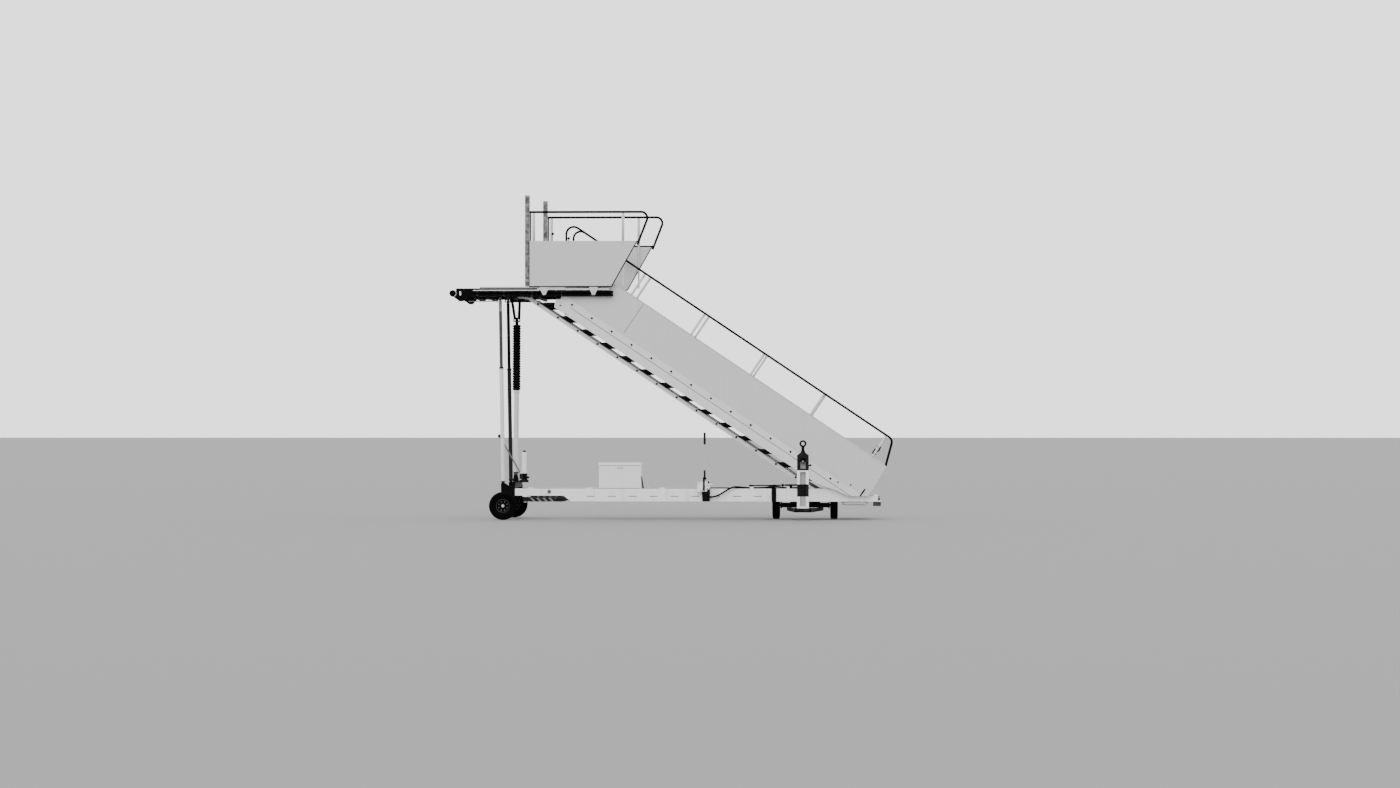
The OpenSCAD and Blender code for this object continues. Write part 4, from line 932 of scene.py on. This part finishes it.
# %% Discs, painted highlight arcs and marks on the extension's side plates
extension_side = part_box("platform_extension")[1][1]
disc = [(0.0, -0.0005), (0.0495, -0.0005), (0.0495, 0.0045), (0.0470, 0.0065), (0.0, 0.0065)]
make_piece("bumper_end_caps", black_paint, "extension", add_turned, [
    (disc, (BUMPER_X, side * extension_side, BUMPER_Z), (0, side, 0)) for side in SIDES], sides=40)

# White half rings over the discs: a painted highlight on the edge of the housing.
bm = bmesh.new()
for side in SIDES:
    section = [(0.0505, -0.0005), (0.0550, -0.0005), (0.0550, 0.0045), (0.0505, 0.0060)]
    add_skin(bm, [[bm.verts.new((BUMPER_X + r * math.cos(t), side * (extension_side + h), BUMPER_Z + r * math.sin(t)))
                   for r, h in section] for t in (math.radians(-75 + 7.5 * i) for i in range(21))])
piece_from(bm, "bumper_end_highlight_arcs", white_paint, "extension")

make_piece("extension_side_marks", white_paint, "extension", add_block, [
    ((-0.668, y - 0.001, 3.338), (-0.644, y + 0.001, 3.396))
    for y in (side * (extension_side + 0.0005) for side in SIDES)], bevel=0.0008)

# %% [markdown]
# ## The hydraulic hose
# The hose leaves the lever pedestal, dips along the beam, climbs over its edge between two white clips and
# runs on to the front bogie. It is held all the way, so it is a fixed piece and not a free cord. A smooth
# curve through the CAD route keeps it where the CAD solid is. The stations are in millimetres: along X, out
# from the side of the beam, and up from its top.

# %% Hose
BEAM_SIDE, BEAM_TOP = 0.660, 0.462
HOSE_R = 0.012
hose_stations = [
    (3062, 40, -122), (3100, 42, -120), (3150, 44, -110), (3200, 46, -90), (3250, 48, -62), (3300, 46, -30),
    (3350, 38, 0), (3400, 24, 20), (3450, 8, 26), (3500, -4, 24), (3560, -12, 18), (3630, -15, 12.3),
    (3710, -15, 12.3), (3800, -15, 12.3), (3900, -15, 20), (3950, -15, 28), (4010, -15, 29), (4070, -15, 28),
    (4120, -15, 20), (4190, -15, 12.3), (4280, -15, 12.3), (4360, -15, 12.3), (4440, -15, 12.3)]
hose_way = [Vector((x / 1000, -BEAM_SIDE - out / 1000, BEAM_TOP + up / 1000)) for x, out, up in hose_stations]
make_piece("lift_hose", hose_rubber, "chassis", add_tube, [(smooth_way(hose_way), HOSE_R)], True, ("hydraulic_hose",))
print("hose length", round(sum((b - a).length for a, b in zip(hose_way, hose_way[1:])), 2), "m")

ferrule = [(0.0, 0.0), (0.0150, 0.0), (0.0162, 0.002), (0.0162, 0.018), (0.0140, 0.020), (0.0140, 0.036),
           (0.0125, 0.040), (0.0, 0.040)]
make_piece("hose_ferrules", bolt_steel, "chassis", add_turned, [
    (ferrule, hose_way[0], hose_way[1] - hose_way[0]), (ferrule, hose_way[-1], hose_way[-2] - hose_way[-1])],
    True, sides=20)

# %% [markdown]
# ## Pipe and clips
# A thin steel pipe runs beside the hose on top of the beam. Both are held by bent straps, the white clips
# of the photograph: each is a half round over the pipe with a small foot on each side.

# %% Pipe on the beam
PIPE_Y, PIPE_Z, PIPE_R = -0.622, 0.4715, 0.009
pipe_way = smooth_way([(x, PIPE_Y, PIPE_Z) for x in (3.066, 3.2, 3.4, 3.65, 3.90, 4.02)])
make_piece("beam_pipe", black_paint, "chassis", add_tube, [(pipe_way, PIPE_R)], True, sides=12)


# %% Clips over hose and pipe
def add_saddle(bm, x0, x1, y, radius, foot=0.001, thick=0.004):
    """A bent strap over a pipe that lies along X on top of the beam"""
    z = BEAM_TOP
    wide = radius + thick
    bend = [math.pi * i / 12 for i in range(13)]
    inner = [(y - radius * math.cos(a), z + radius * (0.4 + math.sin(a))) for a in bend]
    outer = [(y - wide * math.cos(a), z + radius * 0.4 + wide * math.sin(a)) for a in bend]
    ring = [(y - radius - foot, z), (y - radius, z), *inner, (y + radius, z), (y + radius + foot, z),
            (y + radius + foot, z + thick), (y + wide, z + thick), *outer[::-1], (y - wide, z + thick),
            (y - radius - foot, z + thick)]
    add_skin(bm, [[bm.verts.new((x, py, pz)) for py, pz in ring] for x in (x0, x1)])


bm = bmesh.new()
for x0, x1 in ((3.652, 3.706), (4.200, 4.240), (4.395, 4.415)):
    add_saddle(bm, x0, x1, -0.645, 0.0134)
for x0, x1 in ((3.352, 3.420), (3.652, 3.706), (3.860, 3.885)):
    add_saddle(bm, x0, x1, PIPE_Y, 0.0108)
add_block(bm, (3.352, -BEAM_SIDE, 0.4622), (3.420, -0.634, 0.4655), 0.001)
piece_from(bm, "hose_clips", white_paint, "chassis")

# %% [markdown]
# ## Shade in the slots of the beams
# Dark blocks sit in the long slots of the beams, a row of nine on each side, as painted shade in the open slots.

# %% Dark blocks in the slots of the beams, painted shade
SLOT_SHADE_COUNT, SLOT_SHADE_START, SLOT_SHADE_PITCH, SLOT_SHADE_Y = 9, 1.230, 0.310, 0.6572
slot_shades = [(SLOT_SHADE_START + SLOT_SHADE_PITCH * i, side * SLOT_SHADE_Y) for i in range(SLOT_SHADE_COUNT) for side in SIDES]
make_piece("beam_slot_shade_blocks", rubber, "chassis", add_block, [
    ((x + 0.0005, y - 0.0022, 0.3434), (x + 0.1195, y + 0.0022, 0.3526)) for x, y in slot_shades], bevel=0.0008)

# %% [markdown]
# ## Trim on the flight
# The stringers are folded sheet with a bead along each fold, and the cheek panels are screwed on above
# them in two lengths, with a narrow gap at the seam. A folded lip stiffens the top edge of the cheeks.
# A dark strip under the lower bead of the stringers is painted shade.

# %% Beads, seams, painted shade under a bead, and lips
seam_and_shade_grey = paint("seam_and_shade_grey", 0.045, streaks=0.0, dust=0.1, mottle=0.02, wear=0.1)


def make_trim(name, finish, strips):
    """strips lists (a0, a1, n0, n1, sunk, proud, bevel): sunk and proud are depths about the cheek's face"""
    bm = bmesh.new()
    for a0, a1, n0, n1, sunk, proud, bevel in strips:
        add_flight_block(bm, a0, a1, n0, n1, CHEEK_FACE - sunk, CHEEK_FACE + proud, bevel)
        add_flight_block(bm, a0, a1, n0, n1, -CHEEK_FACE - proud, -CHEEK_FACE + sunk, bevel)
    piece_from(bm, name, finish, "flight")


# The first strip is painted shade under the lower bead of the stringers; the second is the dark seam between the two
# lengths of cheek panel.
make_trim("flight_seams_and_bead_shade", seam_and_shade_grey, [(0.10, 5.10, 0.2225, 0.2295, 0.001, 0.0012, 0.0004),
                                      (0.954, 0.9615, 0.350, 0.884, 0.001, 0.0006, 0.0002)])
make_trim("flight_beads", flight_paint, [(0.06, 5.20, 0.3325, 0.3400, 0.001, 0.0028, 0.0012),
                                         (0.06, 5.12, 0.2305, 0.2345, 0.001, 0.0016, 0.0007),
                                         (0.22, 5.29, 0.8820, 0.8885, 0.0045, 0.0025, 0.001)])

# %% Screws on the flight
SCREW_Y = CHEEK_FACE + 0.0003
screws = [flight_point(0.20 + i * 0.172, 0.362, SCREW_Y) for i in range(30)]
screws += [flight_point(a, 0.40 + i * 0.064, SCREW_Y) for i in range(8) for a in (0.935, 0.980)]
grow_heads("cheek_screws", both_sides(screws), "flight", flight_paint, 0.0045, 0.0018, 10)
bolts = [(x, SCREW_Y, z) for x, z in ((0.838, 3.184), (0.913, 3.052), (5.150, 0.520), (4.960, 0.560))]
grow_heads("flight_bolts", both_sides(bolts), "flight", bolt_steel, 0.010, 0.004)

# %% [markdown]
# ## Handrails
# Each handrail is one bent tube. It rises from the cheek, follows the slope and bends down again at the foot
# of the stairs. The photograph places the lower bend, so the tube is laid anew here and stands for the CAD one.

# %% Handrails
RAIL_Y, RAIL_N, RAIL_R = 0.6997, 1.270, 0.016
RAIL_HEAD_X = 0.924
rail_head = on_flight((RAIL_HEAD_X - on_flight(0, RAIL_N)[0]) / math.cos(SLOPE), RAIL_N)
rail_corners = [(RAIL_HEAD_X, 3.900), (RAIL_HEAD_X, rail_head[1]), on_flight(5.150, RAIL_N), (5.664, 0.790)]


def rounded_way(corners, radii, y, steps=10):
    """Points along a bent tube in a vertical plane, with a round bend at each inner corner"""
    way = [Vector((corners[0][0], y, corners[0][1]))]
    for before, corner, after, radius in zip(corners, corners[1:], corners[2:], radii):
        corner = Vector(corner)
        a, b = (Vector(before) - corner).normalized(), (Vector(after) - corner).normalized()
        half = a.angle(b) / 2
        middle = corner + (a + b).normalized() * radius / math.sin(half)
        first = corner + a * radius / math.tan(half) - middle
        last = corner + b * radius / math.tan(half) - middle
        turn = math.pi - 2 * half
        for share in (turn * i / steps for i in range(steps + 1)):
            spot = middle + (first * math.sin(turn - share) + last * math.sin(share)) / math.sin(turn)
            way.append(Vector((spot[0], y, spot[1])))
    return way + [Vector((corners[-1][0], y, corners[-1][1]))]


make_piece("handrail_tubes", black_paint, "flight", add_tube, [
    (rounded_way(rail_corners, (0.110, 0.095), side * RAIL_Y), RAIL_R) for side in SIDES],
    True, ("stair_handrails",), sides=24)

# %% [markdown]
# ## Stop marks and stanchions
# A short black mark on each cheek shows where the flight stops. The stanchions carry the handrails: each is a
# sleeve on the cheek's post with a collar below the rail, and black clips hold the last one.

# %% Stop mark, rail collars and the clips on the last stanchion
make_piece("cheek_stop_marks", black_paint, "flight", add_flat_bar, [
    ((5.361, 0.457), (5.287, 0.354), 0.0220, y - 0.0025, y + 0.0025)
    for y in (side * (CHEEK_FACE + 0.002) for side in SIDES)], bevel=0.002)

STANCHIONS = (0.730, 1.7971, 2.8642, 3.9313, 5.040)
LAST_STANCHION = STANCHIONS[-1]
STANCHION_Y = 0.7017
collar = [(0.0, 0.0), (0.0185, 0.0), (0.0195, 0.002), (0.0195, 0.016), (0.0185, 0.018), (0.0, 0.018)]
sleeve = [(0.0, 0.0), (0.0190, 0.0), (0.0190, 0.006), (0.0178, 0.009), (0.0178, 0.324), (0.0160, 0.327), (0.0, 0.327)]
for name, profile, n in (("rail_collars", collar, 1.222), ("stanchion_sleeves", sleeve, 0.893)):
    make_piece(name, stanchion_paint, "flight", add_turned, [
        (profile, flight_point(a, n, side * STANCHION_Y), across_slope) for a in STANCHIONS for side in SIDES],
        True, sides=24)

bm = bmesh.new()
for y in (side * STANCHION_Y for side in SIDES):
    for edge, n0, n1 in ((-0.0225, 0.925, 1.010), (0.0225, 0.985, 1.075)):
        way = [flight_point(LAST_STANCHION + edge * out, n, y)
               for out, n in ((1, n0), (1.35, (n0 + n1) / 2), (1, n1))]
        add_tube(bm, smooth_way(way), 0.0095, 12)
    for n in (0.945, 1.055):
        add_flight_block(bm, LAST_STANCHION - 0.026, LAST_STANCHION + 0.026, n - 0.006, n + 0.006,
                         y - 0.0165, y + 0.0165, 0.002)
piece_from(bm, "stanchion_clips", black_paint, "flight")

# %% [markdown]
# ## Trim on the guards
# Each guard is a thin panel with a folded dark edge, and a round rail stands above it. The rail bends down
# beside the tall post, and two straps hold panel and post together. A ball knob locks each guard.

# %% Guard edging
GUARDS = {"near": (0.0, -1), "far": (0.140, 1)}
PANEL_LOW, PANEL_BACK, PANEL_FACE = 3.463, 0.380, 0.7942
POST_Y, STRAP_Z, STRAP_Y = 0.7757, (3.500, 4.090), (0.7905, 0.7945)


def ball_profile(radius, steps):
    turn = math.pi / steps
    return [(radius * math.sin(turn * i), -radius * math.cos(turn * i)) for i in range(steps + 1)]


def make_guard_edging(side, shift, sign):
    outer, inner = sign * PANEL_FACE, sign * 0.7888
    bars = [((PANEL_BACK, PANEL_LOW), (1.603, PANEL_LOW), 0.016, inner, outer),
            ((1.599, 3.457), (1.983, 4.137), 0.016, inner, outer)]
    if side == "far":
        bars.append(((PANEL_BACK, 4.130), (1.985, 4.130), 0.022, inner, outer))
    bars.append(((0.3795, 3.462), (0.3795, 4.136), 0.009, sign * 0.7932, sign * 0.7955))
    make_piece(f"guard_{side}_edging", black_paint, f"guard_{side}", add_flat_bar, [
        ((x0 + shift, z0), (x1 + shift, z1), *sizes) for (x0, z0), (x1, z1), *sizes in bars])


# %% Guard rail legs, knobs and post sleeves
KNOB_R, STEM_R = 0.0205, 0.006


def make_guard_rail_ends(side, shift, sign):
    bm = bmesh.new()
    add_tube(bm, [(0.3985 + shift, sign * 0.7727, z) for z in (4.140, 4.25, 4.36, 4.47, 4.556)], 0.0100, 14)
    foot, stem, reach = ((0.585, POST_Y, 4.320), (0.012, -0.02, 0), (0.020, -0.030, 0)) if side == "far" else (
        (0.968, -0.789, 4.128), (0, 0, 0.034), (0, 0, 0.050))
    add_tube(bm, [foot, Vector(foot) + Vector(stem)], STEM_R, 10)
    add_turned(bm, ball_profile(KNOB_R, 10), Vector(foot) + Vector(reach), (0, 0, 1), 20)
    piece_from(bm, f"guard_{side}_leg_and_knob", black_paint, f"guard_{side}", True)

    sleeve = [(0.0, 0.0), (0.0185, 0.0), (0.0205, 0.003), (0.0205, 0.397), (0.0185, 0.400), (0.0, 0.400)]
    make_piece(f"guard_{side}_post_sleeves", stanchion_paint, f"guard_{side}", add_turned, [
        (sleeve, (x + shift, sign * POST_Y, 4.145), (0, 0, 1)) for x in (0.445, 1.773)], True, sides=28)


# %% Guard straps, bolts and rivets
def make_guard_fasteners(side, shift, sign):
    body = f"guard_{side}"
    y0, y1 = sorted(sign * y for y in STRAP_Y)
    make_piece(body + "_straps", galvanised, body, add_block, [
        ((0.3165 + shift, y0, z), (0.372 + shift, y1, z + 0.034)) for z in STRAP_Z], bevel=0.001)
    rows = [((x + shift, sign * PANEL_FACE, z + 0.017), (0, sign, 0)) for x in (0.332, 0.358) for z in STRAP_Z]
    grow_heads(body + "_strap_bolts", rows, body, bolt_steel, 0.006, 0.003)
    spots = [(x, z) for x in (0.445, 0.760, 1.075, 1.390) for z in (3.486, 4.112)] + [(1.773, 3.90), (1.773, 4.112)]
    rows = [((x + shift, sign * 0.7928, z), (0, sign, 0)) for x, z in spots]
    grow_heads(body + "_rivets", rows, body, panel_paint, 0.006, 0.0022, 12)


for side, (shift, sign) in GUARDS.items():
    make_guard_edging(side, shift, sign)
    make_guard_rail_ends(side, shift, sign)
    make_guard_fasteners(side, shift, sign)

# %% [markdown]
# ## Bolts on the platform and the chassis
# Frames of this kind are bolted at every cross member. The rows follow the cross members of the CAD frame,
# so each head sits on the web of a beam where a bolt would be.

# %% Chassis and platform fasteners
CROSS_X = (0.300, 1.200, 2.300, 3.300, 3.860, 5.100)
RAIL_SIDE = 0.7852
bolts = [(x + dx, BEAM_SIDE + 0.0002, z) for x in CROSS_X for dx in (-0.018, 0.018) for z in (0.386, 0.436)]
grow_heads("beam_bolts", both_sides(bolts), "chassis", chassis_paint, 0.0065, 0.0035)
bolts = [(x, RAIL_SIDE, z) for x in (-0.40, 0.00, 0.42, 0.86, 1.30) for z in (3.336, 3.383)]
bolts.append((1.612, RAIL_SIDE, 3.3595))
grow_heads("platform_bolts", both_sides(bolts), "platform", bolt_steel, 0.0075, 0.004)
make_piece("rail_edge_strips", white_paint, "platform", add_block, [
    ((-0.460, y - 0.0011, 3.4020), (0.520, y + 0.0011, 3.4120))
    for y in (side * (RAIL_SIDE + 0.0005) for side in SIDES)], bevel=0.0005)
rivets = [(-0.66 + i * 0.055, 0.7255, 3.426) for i in range(8)]
grow_heads("extension_rivets", both_sides(rivets), "extension", bolt_steel, 0.004, 0.002, 10)

# %% [markdown]
# ## Tool box, pedestal and lamps
# The box has a drawn handle below its lid. The pedestal carries the valve block with its knobs and ports and
# a rubber boot round the lever. The lamps have a bright ring, and the reflector on the beam a dark plate.

# %% Tool box fittings
HANDLE = [(1.685, -0.6655, 0.786), (1.687, -0.6690, 0.782), (1.695, -0.6700, 0.776), (1.720, -0.6700, 0.774),
          (1.745, -0.6700, 0.776), (1.753, -0.6690, 0.782), (1.755, -0.6655, 0.786)]
make_piece("tool_box_fittings", bare_steel, "chassis", add_tube, [(smooth_way(HANDLE), 0.003)], sides=10)
make_piece("tool_box_seals", hose_rubber, "chassis", add_block, [
    ((1.4085, -0.6612, z0), (2.0345, -0.6598, z1)) for z0, z1 in ((0.8065, 0.8115), (0.4625, 0.4685))], bevel=0.0005)
rows = [((1.430 + i * 0.0645, -BEAM_SIDE - 0.0002, 0.480), (0, -1, 0)) for i in range(10)]
grow_heads("tool_box_rivets", rows, "chassis", white_paint, 0.004, 0.002, 10)

# %% Pedestal fittings
boot = [(0.0, 0.0), (0.034, 0.0)]
for i in range(4):
    r = 0.033 - i * 0.004
    boot += [(r, 0.003 + i * 0.010), (r - 0.006, 0.009 + i * 0.010)]
boot += [(0.017, 0.044), (0.0, 0.044)]
bm = bmesh.new()
add_turned(bm, boot, (2.985, -0.750, 0.599), (0, 0, 1), 32)
for x, z in ((3.043, 0.560), (3.030, 0.385)):
    add_tube(bm, [(x, -0.7190, z), (x, -0.7440, z)], 0.0055, 10)
    add_turned(bm, ball_profile(0.0155, 8), (x, -0.7500, z), (0, -1, 0), 20)
add_block(bm, (2.948, -0.7625, 0.335), (2.980, -0.7595, 0.420), 0.001)
piece_from(bm, "pedestal_boot_and_knobs", hose_rubber, "chassis", True)
bolts = [(x, -0.7602, z) for x in (2.957, 3.009) for z in (0.452, 0.580)]
bolts += [(2.892, -0.7502, 0.540), (2.927, -0.7502, 0.435)]
grow_heads("pedestal_bolts", [(p, (0, -1, 0)) for p in bolts], "chassis", bolt_steel, 0.006, 0.004)
make_piece("pedestal_ports", bright_steel, "chassis", add_turned, [
    ([(0.0, 0.0), (0.013, 0.0), (0.013, 0.010), (0.010, 0.013), (0.010, 0.022), (0.0, 0.022)],
     (3.040, -0.7195, 0.455), (0, -1, 0)),
    ([(0.0, 0.0), (0.011, 0.0), (0.011, 0.012), (0.007, 0.015), (0.007, 0.020), (0.0, 0.020)],
     (2.995, -0.7600, 0.500), (0, -1, 0))], True, sides=18)

# %% Reflector plates and lamp rings
REFLECTOR_X, REFLECTOR_Z = 0.666, 0.416
plate = [(0.0, -0.0005), (0.0310, -0.0005), (0.0310, 0.0040), (0.0290, 0.0064), (0.0, 0.0064)]
make_piece("reflector_plates", hose_rubber, "chassis", add_turned, [
    (plate, (REFLECTOR_X, side * BEAM_SIDE, REFLECTOR_Z), (0, side, 0)) for side in SIDES], sides=36)


def ring_section(r):
    return [(r - 0.002, -0.001), (r + 0.0012, -0.001), (r + 0.0012, 0.0016), (r - 0.002, 0.0016)]


rings = []
for side in SIDES:
    rings += [(ring_section(0.026), (5.583, side * 0.615, 0.312), (1, 0, 0)),
              (ring_section(0.0245), (REFLECTOR_X, side * 0.6672, REFLECTOR_Z), (0, side, 0))]
make_piece("lamp_rings", bright_steel, "chassis", add_turned, rings, True, closed=True)

# %% [markdown]
# ## The neck of the tow eye
# The tow eye is a forging: its round stem spreads into a wide foot where it meets the head of the tow bar.
# A turned form laid over the CAD stem gives it that neck, and leaves the bore of the eye as it is.

# %% Neck of the tow eye
neck = [(0.0, -0.001), (0.0340, -0.001), (0.0340, 0.006), (0.0270, 0.022), (0.0225, 0.040), (0.0220, 0.078),
        (0.0200, 0.086), (0.0, 0.086)]
make_piece("tow_eye_neck", black_paint, "tow_bar", add_turned, [(neck, (4.460, -1.650, 1.003), (0, 0, 1))], True)

# %% [markdown]
# ## Floor and light
# The photograph has an overcast sky, so the light comes from everywhere. A pale sky does most of the work, and
# one large soft lamp high on the near side gives the shapes a little direction.

# %% Floor and light
floor_finish, tree, shader = new_finish("floor", 0.9)
shader.inputs["Base Color"].default_value = grey(0.17)
bm = bmesh.new()
bmesh.ops.create_grid(bm, x_segments=1, y_segments=1, size=900)
floor_mesh = bpy.data.meshes.new("floor")
bm.to_mesh(floor_mesh)
bm.free()
floor_mesh.materials.append(floor_finish)
floor = bpy.data.objects.new("floor", floor_mesh)
bpy.context.scene.collection.objects.link(floor)

world = bpy.data.worlds.new("sky")
bpy.context.scene.world = world
world.use_nodes = True
world.node_tree.nodes["Background"].inputs["Color"].default_value = grey(0.86)
world.node_tree.nodes["Background"].inputs["Strength"].default_value = 2.4

sun_data = bpy.data.lights.new("soft_sun", "SUN")
sun_data.energy = 1.8
sun_data.angle = math.radians(60)
sun = bpy.data.objects.new("soft_sun", sun_data)
sun.rotation_euler = (math.radians(42), 0, math.radians(-18))
bpy.context.scene.collection.objects.link(sun)
print("floor and light ready")
